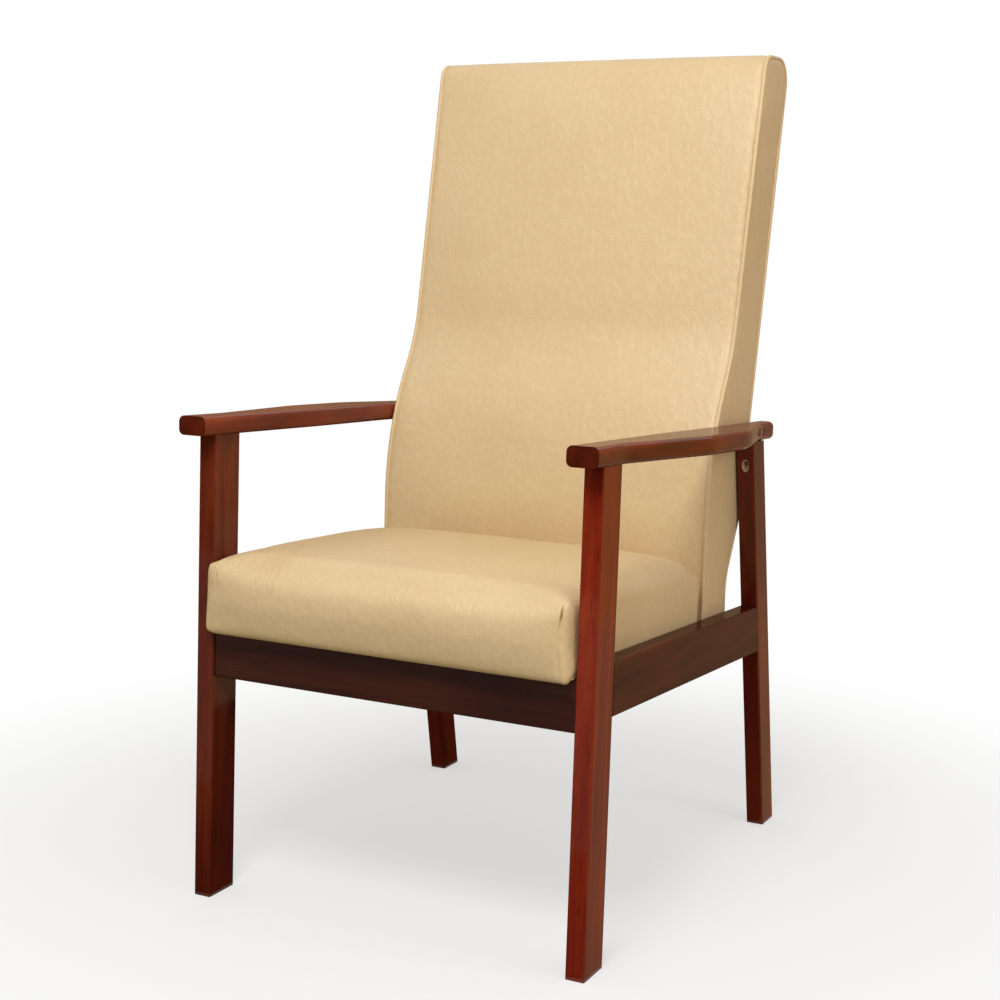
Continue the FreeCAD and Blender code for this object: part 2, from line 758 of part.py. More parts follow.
def rail_joint(name, x, y_of, level, way, half=size("dowel_length")):
    """Two dowels, one above the other, that cross the joint at y_of(level)."""
    pins, holes = [], []
    for index, side in enumerate((-1, 1)):
        height = f"({level} + {side} * dims.dowel_spread / 2)"
        y = y_of(height)
        spot = (x, f"({y} - {half} / 2)", height)
        if way is OUTWARD:
            spot = (f"({x} - {half} / 2)", y, height)
        pin, hole = dowel_pair(f"{name}_{index + 1}", spot, way)
        pins.append(pin)
        holes.append(hole)
    return pins, holes


front_rail_middle = f"({front_rail_bottom} + dims.front_rail_height / 2)"
side_front_middle = f"(({rail_front_low} + dims.rail_top) / 2)"
side_rear_middle = f"(({rail_rear_low} + {rail_rear_high}) / 2)"
half_rail = "(dims.front_rail_setback + dims.front_rail_thick / 2)"
side_front_pins, side_front_holes = rail_joint(
    "side_front_dowel", LEG_MIDDLE,
    lambda level: front_leg_y(level, size("front_depth")), side_front_middle, ALONG_RAIL)
side_rear_pins, side_rear_holes = rail_joint(
    "side_rear_dowel", LEG_MIDDLE, rear_leg_y, side_rear_middle, ALONG_RAIL)
front_pins, front_holes = rail_joint(
    "front_rail_dowel", LEG_INSIDE, lambda level: front_leg_y(level, half_rail),
    front_rail_middle, OUTWARD)
rear_pins, rear_holes = rail_joint(
    "rear_rail_dowel", LEG_INSIDE,
    lambda level: f"({REAR_RAIL_FRONT} + dims.rear_rail_thick / 2)", REAR_RAIL_MIDDLE, OUTWARD)

# Dowel and pocket screw of each leg in the arm

rear_dowel_low = f"({rear_top_rear} - dims.arm_dowel_depth)"
front_dowel_low = f"({front_top_rear} - dims.arm_dowel_depth)"
front_arm_pin, front_arm_hole = dowel_pair(
    "front_arm_dowel", (LEG_MIDDLE, front_leg_y(size("arm_height"), size("arm_dowel_inset")),
                        front_dowel_low), UP, size("arm_dowel"), size("arm_dowel_length"))
rear_dowel_depth = "(dims.rear_depth - dims.arm_dowel_inset)"
rear_arm_pin, rear_arm_hole = dowel_pair(
    "rear_arm_dowel", (LEG_MIDDLE, rear_leg_y(rear_top_rear, rear_dowel_depth), rear_dowel_low),
    UP, size("arm_dowel"), size("arm_dowel_length"))


def pocket_screw(name, face_y, level, way, lean_sign):
    """Screw that runs up into the arm from a pocket in a leg face."""
    def spot_at(distance):
        y = f"({face_y} + {lean_sign} * sin(dims.pocket_angle) * ({distance}))"
        return LEG_MIDDLE, y, f"({level} + cos(dims.pocket_angle) * ({distance}))"
    return sunk_screw(name, spot_at, way, size("pocket_depth"), size("pocket_screw_length"))


front_pocket_level = f"({front_top_rear} - dims.pocket_drop)"
rear_pocket_level = f"({rear_top_front} - dims.pocket_drop)"
front_pocket_screw, front_pocket_cuts = pocket_screw(
    "front_pocket_screw", front_leg_y(front_pocket_level, size("front_depth")),
    front_pocket_level, UP_FORWARD, -1)
rear_pocket_screw, rear_pocket_cuts = pocket_screw(
    "rear_pocket_screw", rear_leg_y(rear_pocket_level), rear_pocket_level, UP_REARWARD, 1)

# Screws of the bearers, the corner blocks and the seat board

bearer_screws, bearer_cuts = [], []
for index in range(BEARER_SCREWS):
    along = f"(dims.bearer_start + {bearer_length} * {2 * index + 1} / {2 * BEARER_SCREWS})"
    pin, cuts = sunk_screw(
        f"bearer_screw_{index + 1}",
        lambda distance: seat_spot(f"({bearer_inside} + {distance})", along,
                                   "-dims.bearer_height / 2"),
        OUTWARD, size("screw_head_height"), size("bearer_screw_length"))
    bearer_screws.append(pin)
    bearer_cuts += cuts

# The long side of the block runs at 45 degrees, so the reach gives the head's place on it
block_middle = "(-dims.block_height / 2)"
block_far = "(dims.block_side - dims.block_screw_reach)"
block_side_screw, block_side_cuts = sunk_screw(
    "block_side_screw",
    lambda distance: seat_spot(f"({block_side} - {block_far} + {distance})",
                               f"({block_front} + dims.block_screw_reach)",
                               f"({block_middle} - dims.screw_head)"),
    OUTWARD, size("block_screw_sink"), size("block_screw_length"))
block_front_screw, block_front_cuts = sunk_screw(
    "block_front_screw",
    lambda distance: seat_spot(f"({block_side} - dims.block_screw_reach)",
                               f"({block_front} + {block_far} - {distance})",
                               f"({block_middle} + dims.screw_head)"),
    SEAT_FORWARD, size("block_screw_sink"), size("block_screw_length"))

seat_block_screw, seat_block_cuts = sunk_screw(
    "seat_block_screw",
    lambda distance: seat_spot(f"({block_side} - dims.seat_screw_side)",
                               f"({block_front} + dims.seat_screw_front)",
                               f"({distance} - dims.block_height)"),
    SEAT_UP, size("seat_screw_sink"), size("seat_screw_length"))
seat_bearer_screw, seat_bearer_cuts = sunk_screw(
    "seat_bearer_screw",
    lambda distance: seat_spot(f"({bearer_inside} + dims.bearer_width / 2)",
                               f"({SEAT_REAR} - dims.bearer_end_gap - dims.seat_screw_end)",
                               f"({distance} - dims.bearer_height)"),
    SEAT_UP, size("screw_head_height"), size("seat_screw_length"))

# Bolts and threaded inserts that hold the back to the arms and to the rear rail

# The arm bolt meets the stile where the arm's middle crosses the stile's, a little to the front
bolt_up = "(dims.arm_thick / 2)"
bolt_level = f"(dims.arm_height + cos(dims.arm_tilt) * {bolt_up})"
stile_centre = f"(({panel_front} + {stile_front}) / 2)"
bolt_along = (f"(({back_rear_y(bolt_level)} - {stile_centre} - {ARM_ORIGIN}"
              f" - sin(dims.arm_tilt) * {bolt_up})"
              f" / (cos(dims.arm_tilt) + {LEAN} * sin(dims.arm_tilt)) - dims.arm_bolt_set)")
bolt_outside = "(dims.frame_width / 2 - dims.arm_bolt_sink + dims.arm_bolt_head_height)"
arm_bolt, arm_bolt_hole = headed(
    "arm_bolt", arm_spot(bolt_outside, bolt_along, bolt_up), INWARD, size("arm_bolt"),
    size("arm_bolt_length"), size("arm_bolt_head"), size("arm_bolt_head_height"))
arm_bolt_mouth = rod(
    "arm_bolt_mouth",
    arm_spot("(dims.frame_width / 2 + dims.arm_bolt_head)", bolt_along, bolt_up), INWARD,
    "dims.arm_bolt_head + 2 * dims.arm_bolt_ring", "dims.arm_bolt_head + dims.arm_bolt_sink")


def threaded_insert(name, spot, way, bolt):
    """Sleeve round a bolt, and the hole that it is driven into."""
    outer = f"({bolt} + 2 * dims.insert_wall)"
    sleeve = rod(f"{name}_sleeve", spot, way, outer, size("insert_length"))
    bore = rod(f"{name}_bore", spot, way, f"{bolt} + 2 * dims.fit_gap", size("insert_length"))
    seat_hole = rod(f"{name}_hole", spot, way, f"{outer} + 2 * dims.fit_gap",
                    size("insert_length"))
    return cut(name, sleeve, [bore]), seat_hole


arm_insert, arm_insert_hole = threaded_insert(
    "arm_insert", arm_spot(stile_outside, bolt_along, bolt_up), INWARD, size("arm_bolt"))
base_bolt_x = "(dims.base_bolt_spacing / 2)"
base_bolt_z = "(dims.rear_rail_bottom + dims.base_bolt_lift)"
base_bolt, base_bolt_hole = headed(
    "base_bolt", (base_bolt_x, f"({REAR_RAIL_REAR} + dims.base_bolt_head_height)", base_bolt_z),
    FORWARD, size("base_bolt"), size("base_bolt_length"), size("base_bolt_head"),
    size("base_bolt_head_height"))
base_insert, base_insert_hole = threaded_insert(
    "base_insert", (base_bolt_x, f"({HEEL} - {panel_front})", base_bolt_z), FORWARD,
    size("base_bolt"))

# Dowels between the stiles and the cross rails of the back

back_pins, back_holes = [], []
cross_rails = {
    "top": (f"({frame_top} - dims.top_rail_height / 2)", back_rear_y),
    "middle": (size("middle_rail_level"), back_rear_y),
    "bottom": (f"({frame_bottom} + dims.bottom_rail_height / 2)", lambda level: HEEL),
}
for label, (level, line) in cross_rails.items():
    pins, holes = rail_joint(f"back_{label}_dowel", stile_inside,
                             lambda height: f"({line(height)} - {stile_centre})", level, OUTWARD)
    back_pins += pins
    back_holes += holes

# Finished pieces of the side frames

left_pieces = {
    "front_leg": cut("front_leg_cut", front_leg, [
        *side_front_holes, *front_holes, front_arm_hole, *front_pocket_cuts,
        block_side_cuts[0]]),
    "rear_leg": cut("rear_leg_cut", rear_leg, [
        *side_rear_holes, rear_arm_hole, *rear_pocket_cuts]),
    "armrest": cut("armrest_cut", armrest, [
        front_arm_hole, rear_arm_hole, front_pocket_cuts[0], rear_pocket_cuts[0],
        arm_bolt_mouth, arm_bolt_hole]),
    "side_rail": cut("side_rail_cut", side_rail, [
        *side_front_holes, *side_rear_holes, *rear_holes, *bearer_cuts]),
    "seat_bearer": cut("seat_bearer_cut", bearer, [*bearer_cuts, *seat_bearer_cuts]),
    "back_stile": cut("back_stile_cut", stile, [*back_holes, arm_insert_hole, arm_bolt_hole]),
    "back_side_panel": cut("back_side_panel_cut", gusset, [arm_bolt_hole]),
    "back_piping": piping,
}
for label, piece in left_pieces.items():
    keep(piece, f"{label}_left")
    keep(mirrored(f"{label}_mirror", piece), f"{label}_right")

keep(cut("front_rail_cut", front_rail, [
    both_sides("front_rail_holes", [*front_holes, block_front_cuts[0]])]), "front_rail")
keep(cut("rear_rail_cut", rear_rail, [
    both_sides("rear_rail_holes", [*rear_holes, base_bolt_hole])]), "rear_rail")
corner_block = cut("corner_block_cut", block, [
    *block_side_cuts, *block_front_cuts, *seat_block_cuts])
keep(both_sides("corner_block_pair", [corner_block]), "corner_blocks")

# Finished seat

seat_holes = both_sides("seat_screw_holes", [seat_block_cuts[0], seat_bearer_cuts[0]])
keep(cut("seat_dust_cover_cut", dust_cover, [seat_holes]), "seat_dust_cover")
keep(cut("seat_board_cut", board, [seat_holes]), "seat_board")
keep(seat_foam, "seat_foam")
keep(cut("seat_cover_shell", seat_skin, [seat_filling]), "seat_cover")

# Finished back

base_holes = both_sides("base_holes", [base_bolt_hole])
keep(cut("back_top_rail_cut", top_rail, [both_sides("top_rail_holes", back_holes[0:2])]),
     "back_top_rail")
keep(cut("back_middle_rail_cut", middle_rail, [
    both_sides("middle_rail_holes", back_holes[2:4])]), "back_middle_rail")
keep(cut("back_bottom_rail_cut", bottom_rail, [
    both_sides("bottom_rail_holes", [*back_holes[4:6], base_insert_hole]), base_holes]),
     "back_bottom_rail")
keep(cut("back_rear_panel_cut", rear_panel, [base_holes]), "back_rear_panel")
keep(group("webbing_straps", straps), "back_webbing")
foam_full = joined("back_foam_full", [foam_middle, foam_edges])
keep(cut("back_foam_cut", foam_full, [frame_zone]), "back_foam")
keep(cut("back_wrap_cut", wrap_outer, [wrap_inner, base_holes]), "back_cover")

# Fasteners, each kind in one group

keep(both_sides("rail_dowel_set", [
    *side_front_pins, *side_rear_pins, *front_pins, *rear_pins]), "rail_dowels")
keep(both_sides("arm_dowel_set", [front_arm_pin, rear_arm_pin]), "arm_dowels")
keep(both_sides("pocket_screw_set", [front_pocket_screw, rear_pocket_screw]),
     "arm_pocket_screws")
keep(both_sides("bearer_screw_set", bearer_screws), "bearer_screws")
keep(both_sides("block_screw_set", [block_side_screw, block_front_screw]),
     "corner_block_screws")
keep(both_sides("seat_screw_set", [seat_block_screw, seat_bearer_screw]), "seat_screws")
keep(both_sides("back_dowel_set", back_pins), "back_frame_dowels")
keep(both_sides("arm_bolt_set", [arm_bolt]), "back_arm_bolts")
keep(both_sides("arm_insert_set", [arm_insert]), "back_arm_inserts")
keep(both_sides("base_bolt_set", [base_bolt]), "back_base_bolts")
keep(both_sides("base_insert_set", [base_insert]), "back_base_inserts")

doc.recompute()
broken = [
    item.Name for item in doc.Objects
    if "Invalid" in item.State or "Error" in item.State
]
if broken:
    raise RuntimeError(f"objects that failed: {broken}")

# The cuts have to remove material and every piece has to be sound
for label, piece in nodes.items():
    if piece.Shape.isNull() or not piece.Shape.isValid():
        raise RuntimeError(f"unsound shape: {label}")
    if piece.TypeId == "Part::Cut" and piece.Shape.Volume >= piece.Base.Shape.Volume:
        raise RuntimeError(f"cut removes nothing: {label}")

os.makedirs("parts", exist_ok=True)
for label, piece in nodes.items():
    piece.Shape.exportStep(f"parts/{label}.step")
print(len(nodes), "pieces written")
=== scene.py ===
import math

import bmesh
import bpy
import numpy as np
from mathutils import Matrix, Vector, noise


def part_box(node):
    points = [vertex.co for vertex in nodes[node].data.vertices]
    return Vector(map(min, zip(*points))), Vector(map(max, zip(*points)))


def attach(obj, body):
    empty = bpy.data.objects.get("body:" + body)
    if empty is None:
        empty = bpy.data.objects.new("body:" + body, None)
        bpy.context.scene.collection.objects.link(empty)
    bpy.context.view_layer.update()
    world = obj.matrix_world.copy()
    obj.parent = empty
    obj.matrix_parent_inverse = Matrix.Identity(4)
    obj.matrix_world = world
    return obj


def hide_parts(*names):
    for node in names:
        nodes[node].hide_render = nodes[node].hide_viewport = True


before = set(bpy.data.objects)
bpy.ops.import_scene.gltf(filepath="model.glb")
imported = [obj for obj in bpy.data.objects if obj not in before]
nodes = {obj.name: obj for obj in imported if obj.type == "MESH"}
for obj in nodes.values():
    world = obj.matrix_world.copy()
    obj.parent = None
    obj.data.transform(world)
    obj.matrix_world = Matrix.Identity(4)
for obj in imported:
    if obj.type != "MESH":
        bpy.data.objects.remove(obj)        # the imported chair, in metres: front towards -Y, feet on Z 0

scene = bpy.context.scene
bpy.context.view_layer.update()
mm = 0.001
sides = {"left": 1, "right": -1}  # the sitter's left is +X
alongX, alongY, alongZ = 0, 1, 2  # ways the wood grain can run


# Shader helpers

def feed(tree, socket, value):
    if isinstance(value, Wire):
        tree.links.new(value.socket, socket)
    else:
        socket.default_value = value


def setStops(ramp, stops):
    while len(ramp.elements) < len(stops):
        ramp.elements.new(1.0)
    for element, (position, colour) in zip(ramp.elements, stops):
        element.position = position
        element.color = (*colour, 1.0)


def asColour(value):
    return value if isinstance(value, Wire) else (*value, 1.0)


class Wire:  # an output socket that can be used in sums
    def __init__(self, tree, socket):
        self.tree = tree
        self.socket = socket

    def sum(self, operation, first, second):
        step = self.tree.nodes.new("ShaderNodeMath")
        step.operation = operation
        feed(self.tree, step.inputs[0], first)
        feed(self.tree, step.inputs[1], second)
        return Wire(self.tree, step.outputs[0])

    def __add__(self, other):
        return self.sum("ADD", self, other)

    __radd__ = __add__

    def __sub__(self, other):
        return self.sum("SUBTRACT", self, other)

    def __rsub__(self, other):
        return self.sum("SUBTRACT", other, self)

    def __mul__(self, other):
        return self.sum("MULTIPLY", self, other)

    __rmul__ = __mul__


class NodeMaker:  # adds nodes to one tree
    def __init__(self, tree):
        self.tree = tree

    def node(self, kind, settings, values, output=0):
        made = self.tree.nodes.new("ShaderNode" + kind)
        for key, value in settings.items():
            if key == "stops":
                setStops(made.color_ramp, value)
            else:
                setattr(made, key, value)
        for key, value in values.items():
            feed(self.tree, made.inputs[key], value)
        return Wire(self.tree, made.outputs[output])

    def place(self, rotation=(0, 0, 0), scale=(1, 1, 1), shift=(0, 0, 0)):
        coordinates = self.node("TexCoord", {}, {}, "Object")
        values = {"Vector": coordinates, "Rotation": rotation, "Scale": scale, "Location": shift}
        return self.node("Mapping", {"vector_type": "TEXTURE"}, values)

    def cloud(self, place, scale, detail=2.0, rough=0.5, distortion=0.0):
        values = {"Vector": place, "Scale": scale, "Detail": detail, "Roughness": rough}
        values["Distortion"] = distortion
        return self.node("TexNoise", {}, values)

    def vectors(self, operation, first, second, output=0):
        return self.node("VectorMath", {"operation": operation}, {0: first, 1: second}, output)

    def length(self, vector):
        return self.node("VectorMath", {"operation": "LENGTH"}, {0: vector}, "Value")

    def ramp(self, factor, stops):
        return self.node("ValToRGB", {"stops": stops}, {"Fac": factor})

    def mix(self, factor, first, second):  # colours are inputs 6 and 7, and output 2
        settings = {"data_type": "RGBA", "clamp_factor": True}
        return self.node("Mix", settings, {0: factor, 6: asColour(first), 7: asColour(second)}, 2)

    def fade(self, value, low, high):  # 0 below low, 1 above high, soft between
        values = {"Value": value, "From Min": low, "From Max": high}
        return self.node("MapRange", {"interpolation_type": "SMOOTHSTEP"}, values)

    def bump(self, height, look):
        values = {"Height": height, "Strength": look["bump"], "Distance": look["bumpDepth"]}
        return self.node("Bump", {}, values)

    def attribute(self, name):  # a number that each point of the mesh carries
        return self.node("Attribute", {"attribute_name": name}, {}, "Fac")


class Finish(NodeMaker):  # a material round one Principled shader
    def __init__(self, name):
        self.material = bpy.data.materials.new(name)
        self.material.use_nodes = True
        super().__init__(self.material.node_tree)
        self.shader = self.tree.nodes["Principled BSDF"]

    def set(self, values):
        for key, value in values.items():
            feed(self.tree, self.shader.inputs[key], value)


def stretched(along, factor):  # scale that draws a pattern out along one axis
    scale = [1.0, 1.0, 1.0]
    scale[along] = factor
    return scale


# Finishes

mahogany = {
    "shades": {"dark": (0.050, 0.0068, 0.0032), "heart": (0.150, 0.0170, 0.0062),
               "flame": (0.260, 0.0420, 0.0118)},
    "stops": {"dark": 0.32, "heart": 0.54, "flame": 0.76},
    "pore": (0.022, 0.0036, 0.0020),
    "endGrain": (0.040, 0.0058, 0.0030),
    "rawWood": (0.75, 0.52, 0.40),  # bare in the screw pockets
    "stretch": 16.0,  # streaks are this much longer than they are wide
    "streaks": 34.0,  # broad streaks per metre across the grain
    "pores": 520.0,
    "stainsAndPaintedLight": 5.0,  # cloudy patches per metre
    "ripples": 90.0,  # in the lacquer, per metre
    "pieceShift": (0.37, 0.259, 0.481),  # each piece is cut from another spot of the plank
    "streakShare": 0.76,
    "stainShare": 0.32,
    "poreShare": 0.42,
    "poreFade": (0.60, 0.70),
    "endShare": 0.6,
    "endFade": (0.5, 0.9),
    "roughness": 0.34,
    "streakRoughness": 0.16,
    "lacquer": 0.60,
    "lacquerRough": 0.07,
    "rippleHeight": 0.7,
    "poreHeight": 0.3,
    "bump": 0.12,
    "bumpDepth": 0.35 * mm,
    "boreRadius": 5.15 * mm,  # of the screw pockets
    "boreEdge": 0.2 * mm,
}


def mahoganyFinish(name, along, lean, shift, paintedLightTone=(1, 1, 1), lacquer=mahogany["lacquer"], bore=None):
    finish = Finish(name)
    grain = finish.place((lean, 0, 0), stretched(along, mahogany["stretch"]), shift)
    streak = finish.cloud(grain, mahogany["streaks"], detail=5.0, rough=0.55, distortion=0.6)
    pores = finish.cloud(grain, mahogany["pores"])
    stain = finish.cloud(finish.place(), mahogany["stainsAndPaintedLight"])
    stops = []
    # each piece's painted light tone lightens or darkens the grain colours for how the light falls on
    # that piece
    for shade, colour in mahogany["shades"].items():
        paintedLightToned = [part * share for part, share in zip(colour, paintedLightTone)]
        stops.append((mahogany["stops"][shade], paintedLightToned))
    colour = finish.ramp(streak * mahogany["streakShare"] + stain * mahogany["stainShare"], stops)
    poreMask = finish.fade(pores, *mahogany["poreFade"])
    colour = finish.mix(poreMask * mahogany["poreShare"], colour, mahogany["pore"])
    facing = finish.node("TexCoord", {}, {}, "Normal")
    axis = [float(way == along) for way in (alongX, alongY, alongZ)]
    endOn = finish.vectors("DOT_PRODUCT", facing, axis, "Value")
    endMask = finish.fade(endOn * endOn, *mahogany["endFade"])
    colour = finish.mix(endMask * mahogany["endShare"], colour, mahogany["endGrain"])
    if bore:
        inside = boreMask(finish, *bore)
        colour = finish.mix(inside, colour, mahogany["rawWood"])
        lacquer = lacquer * (1.0 - inside)
    ripple = finish.cloud(finish.place(), mahogany["ripples"])
    relief = ripple * mahogany["rippleHeight"] - poreMask * mahogany["poreHeight"]
    finish.set({
        "Base Color": colour,
        "Roughness": mahogany["roughness"] + mahogany["streakRoughness"] * streak,
        "Specular IOR Level": 0.0,  # the lacquer does the mirroring
        "Coat Weight": lacquer,
        "Coat Roughness": mahogany["lacquerRough"],
        "Normal": finish.bump(relief, mahogany),
    })
    return finish.material


def boreMask(finish, spot, way):  # 1 within the pocket bored along this axis
    arm = finish.vectors("SUBTRACT", finish.place(), spot)
    distance = finish.length(finish.vectors("CROSS_PRODUCT", arm, way))
    radius = mahogany["boreRadius"]
    return 1.0 - finish.fade(distance, radius, radius + mahogany["boreEdge"])


vinyl = {
    "cream": (0.770, 0.578, 0.330),
    "deep": (0.705, 0.516, 0.283),
    "crease": (0.560, 0.385, 0.180),
    "tuck": (0.20, 0.125, 0.05),  # painted shade in the deep of a corner fold
    "foldShadeFade": (0.55, 0.95),
    "patches": 7.0,  # patches of the deeper shade per metre
    "patchFade": (0.35, 0.75),
    "patchShare": 0.55,
    "cells": 270.0,  # leather cells per metre
    "cellEdge": 0.22,  # reach of the grooves between them, in cells
    "cellShade": 0.16,
    "wander": 2.0 * mm,  # the grooves wander this much
    "wanders": 260.0,
    "flecks": 105.0,  # soft upright flecks per metre
    "fleckStretch": 1.6,
    "fleckFade": (0.40, 0.68),
    "fleckShade": 0.11,
    "fineGrain": 1300.0,
    "gathers": 220.0,  # small gathers per metre, where the mesh says so
    "gatherStretch": 6.0,
    "heights": {"cell": 0.35, "fleck": 1.25, "fine": 0.15, "gather": 20.0},
    "bump": 0.45,
    "bumpDepth": 0.45 * mm,
    "roughness": 0.40,
    "patchRoughness": 0.10,
    "cellGloss": 0.05,
    "mirror": 0.42,
}


def vinylFinish(name, paintedLightTone=1.0):
    finish = Finish(name)
    place = finish.place()
    values = {"Vector": place, "Scale": vinyl["wanders"], "Detail": 2.0}
    drift = finish.node("TexNoise", {}, values, "Color")
    drift = finish.vectors("SUBTRACT", drift, (0.5, 0.5, 0.5))
    drift = finish.node("VectorMath", {"operation": "SCALE"}, {0: drift, "Scale": vinyl["wander"]})
    skin = finish.vectors("ADD", place, drift)
    settings = {"feature": "DISTANCE_TO_EDGE"}
    edge = finish.node("TexVoronoi", settings, {"Vector": skin, "Scale": vinyl["cells"]}, "Distance")
    cell = finish.fade(edge, 0.0, vinyl["cellEdge"])
    fine = finish.cloud(place, vinyl["fineGrain"], rough=0.6)
    upright = finish.place(scale=stretched(alongZ, vinyl["fleckStretch"]))
    fleck = finish.fade(finish.cloud(upright, vinyl["flecks"], detail=1.5), *vinyl["fleckFade"])
    wide = finish.cloud(place, vinyl["patches"], detail=3.0)
    # the painted light tone scales the vinyl colours; the side panels' copy is darker as painted shade
    cream = [channel * paintedLightTone for channel in vinyl["cream"]]
    deep = [channel * paintedLightTone for channel in vinyl["deep"]]
    colour = finish.mix(finish.fade(wide, *vinyl["patchFade"]) * vinyl["patchShare"], cream, deep)
    shade = (1.0 - cell) * vinyl["cellShade"] + (1.0 - fleck) * vinyl["fleckShade"]
    colour = finish.mix(shade, colour, vinyl["crease"])
    # painted shade: darker along the slit of the tucked corner, where the mesh is too coarse to shade the
    # fold itself
    tucked = finish.fade(finish.attribute("tuck"), *vinyl["foldShadeFade"])
    colour = finish.mix(tucked, colour, vinyl["tuck"])
    ridges = finish.place(scale=(1, vinyl["gatherStretch"], vinyl["gatherStretch"]))
    ridge = finish.attribute("gather") * finish.cloud(ridges, vinyl["gathers"], detail=1.0)
    heights = vinyl["heights"]
    relief = cell * heights["cell"] + fleck * heights["fleck"]
    relief = relief + fine * heights["fine"] + ridge * heights["gather"]
    patchy = vinyl["roughness"] + vinyl["patchRoughness"] * wide
    finish.set({
        "Base Color": colour,
        "Roughness": patchy - vinyl["cellGloss"] * cell,
        "Specular IOR Level": vinyl["mirror"],
        "Normal": finish.bump(relief, vinyl),
    })
    return finish.material


beech = {
    "pale": (0.63, 0.46, 0.28),
    "brown": (0.47, 0.31, 0.17),
    "stops": (0.30, 0.70),  # of brown and pale
    "stretch": 14.0,
    "streaks": 60.0,  # per metre across the grain
    "flecks": 700.0,
    "fleckFade": (0.62, 0.70),
    "fleckShare": 0.35,
    "roughness": 0.62,
    "streakRoughness": 0.12,
    "bump": 0.25,
    "bumpDepth": 0.2 * mm,
}


def beechFinish(name, along):
    finish = Finish(name)
    grain = finish.place(scale=stretched(along, beech["stretch"]))
    streak = finish.cloud(grain, beech["streaks"], detail=4.0, rough=0.55, distortion=0.4)
    flecks = finish.fade(finish.cloud(grain, beech["flecks"], detail=1.0), *beech["fleckFade"])
    colour = finish.ramp(streak, list(zip(beech["stops"], (beech["brown"], beech["pale"]))))
    finish.set({
        "Base Color": finish.mix(flecks * beech["fleckShare"], colour, beech["brown"]),
        "Roughness": beech["roughness"] + beech["streakRoughness"] * streak,
        "Normal": finish.bump(streak, beech),
    })
    return finish.material


pressedBoard = {
    "stops": [(0.1, (0.34, 0.22, 0.11)), (0.9, (0.56, 0.41, 0.24))],
    "chips": 240.0,  # per metre
    "roughness": 0.70,
    "chipRoughness": 0.12,
    "bump": 0.3,
    "bumpDepth": 0.3 * mm,
}


def boardFinish(name):
    finish = Finish(name)
    values = {"Vector": finish.place(), "Scale": pressedBoard["chips"]}
    grey = finish.node("RGBToBW", {}, {"Color": finish.node("TexVoronoi", {}, values, "Color")})
    finish.set({
        "Base Color": finish.ramp(grey, pressedBoard["stops"]),
        "Roughness": pressedBoard["roughness"] + pressedBoard["chipRoughness"] * grey,
        "Normal": finish.bump(grey, pressedBoard),
    })
    return finish.material


weave = {
    "elastic_webbing": {"dark": (0.02, 0.02, 0.02), "light": (0.09, 0.09, 0.085), "threads": 260.0},
    "dust_cloth": {"dark": (0.012, 0.012, 0.012), "light": (0.045, 0.045, 0.043), "threads": 500.0},
    "fuzz": 900.0,  # per metre
    "threadShare": 0.6,
    "fuzzShare": 0.4,
    "roughness": 0.82,
    "fuzzRoughness": 0.12,
    "fuzzHeight": 0.5,
    "bump": 0.4,
    "bumpDepth": 0.25 * mm,
}


def clothFinish(name):
    finish = Finish(name)
    kind = weave[name]
    values = {"Vector": finish.place(), "Scale": kind["threads"]}
    warp, weft = (finish.node("TexWave", {"bands_direction": way}, values) for way in "XY")
    fuzz = finish.cloud(values["Vector"], weave["fuzz"], detail=3.0, rough=0.6)
    threads = warp * weft
    share = threads * weave["threadShare"] + fuzz * weave["fuzzShare"]
    relief = threads + fuzz * weave["fuzzHeight"]
    finish.set({
        "Base Color": finish.mix(share, kind["dark"], kind["light"]),
        "Roughness": weave["roughness"] + weave["fuzzRoughness"] * fuzz,
        "Normal": finish.bump(relief, weave),
    })
    return finish.material


steel = {
    "zinc_steel": {"metal": 1.0, "pale": (0.66, 0.65, 0.61)},
    "pale_zinc": {"metal": 0.3, "pale": (0.86, 0.82, 0.76)},  # satin, on the heads in the arms
    "haze": 400.0,  # per metre
    "hazeShade": 0.76,
    "spots": 60.0,
    "roughness": 0.24,
    "spotRoughness": 0.18,
    "bump": 0.08,
    "bumpDepth": 0.05 * mm,
}


def steelFinish(name):
    finish = Finish(name)
    place = finish.place()
    haze = finish.cloud(place, steel["haze"], detail=4.0, rough=0.6)
    spots = finish.cloud(place, steel["spots"])
    pale = steel[name]["pale"]
    finish.set({
        "Base Color": finish.mix(haze, [part * steel["hazeShade"] for part in pale], pale),
        "Metallic": steel[name]["metal"],
        "Roughness": steel["roughness"] + steel["spotRoughness"] * spots,
        "Normal": finish.bump(haze, steel),
    })
    return finish.material


# Mesh helpers

weld = 0.01 * mm  # points closer than this become one


def opened(mesh):  # a bmesh copy of this mesh
    shape = bmesh.new()
    shape.from_mesh(mesh)
    return shape


def linked(name, shape):  # a bmesh becomes an object of the scene
    mesh = bpy.data.meshes.new(name)
    shape.to_mesh(mesh)
    shape.free()
    made = bpy.data.objects.new(name, mesh)
    scene.collection.objects.link(made)
    return made


def shadeSmooth(mesh, smooth=True):
    for face in mesh.polygons:
        face.use_smooth = smooth


def newPiece(name, shape, finish):  # a bmesh becomes an object that rides with the chair
    piece = linked(name, shape)
    piece.data.materials.append(finish)
    shadeSmooth(piece.data)
    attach(piece, "root")
    return piece


def settle(piece):  # applies the piece's modifiers to its mesh
    ready = piece.evaluated_get(bpy.context.evaluated_depsgraph_get())
    mesh = bpy.data.meshes.new_from_object(ready)
    piece.modifiers.clear()
    piece.data = mesh
    shadeSmooth(mesh)


def remesh(piece, voxel):
    grid = piece.modifiers.new("grid", "REMESH")
    grid.mode = "VOXEL"
    grid.voxel_size = voxel
    settle(piece)


def subdivide(piece):
    finer = piece.modifiers.new("finer", "SUBSURF")
    finer.levels = 1
    finer.render_levels = 1
    settle(piece)


def bevel(shape, edges, radius, steps):
    bmesh.ops.bevel(shape, geom=edges, offset=radius, affect="EDGES",
                    segments=steps, profile=0.5, material=-1)


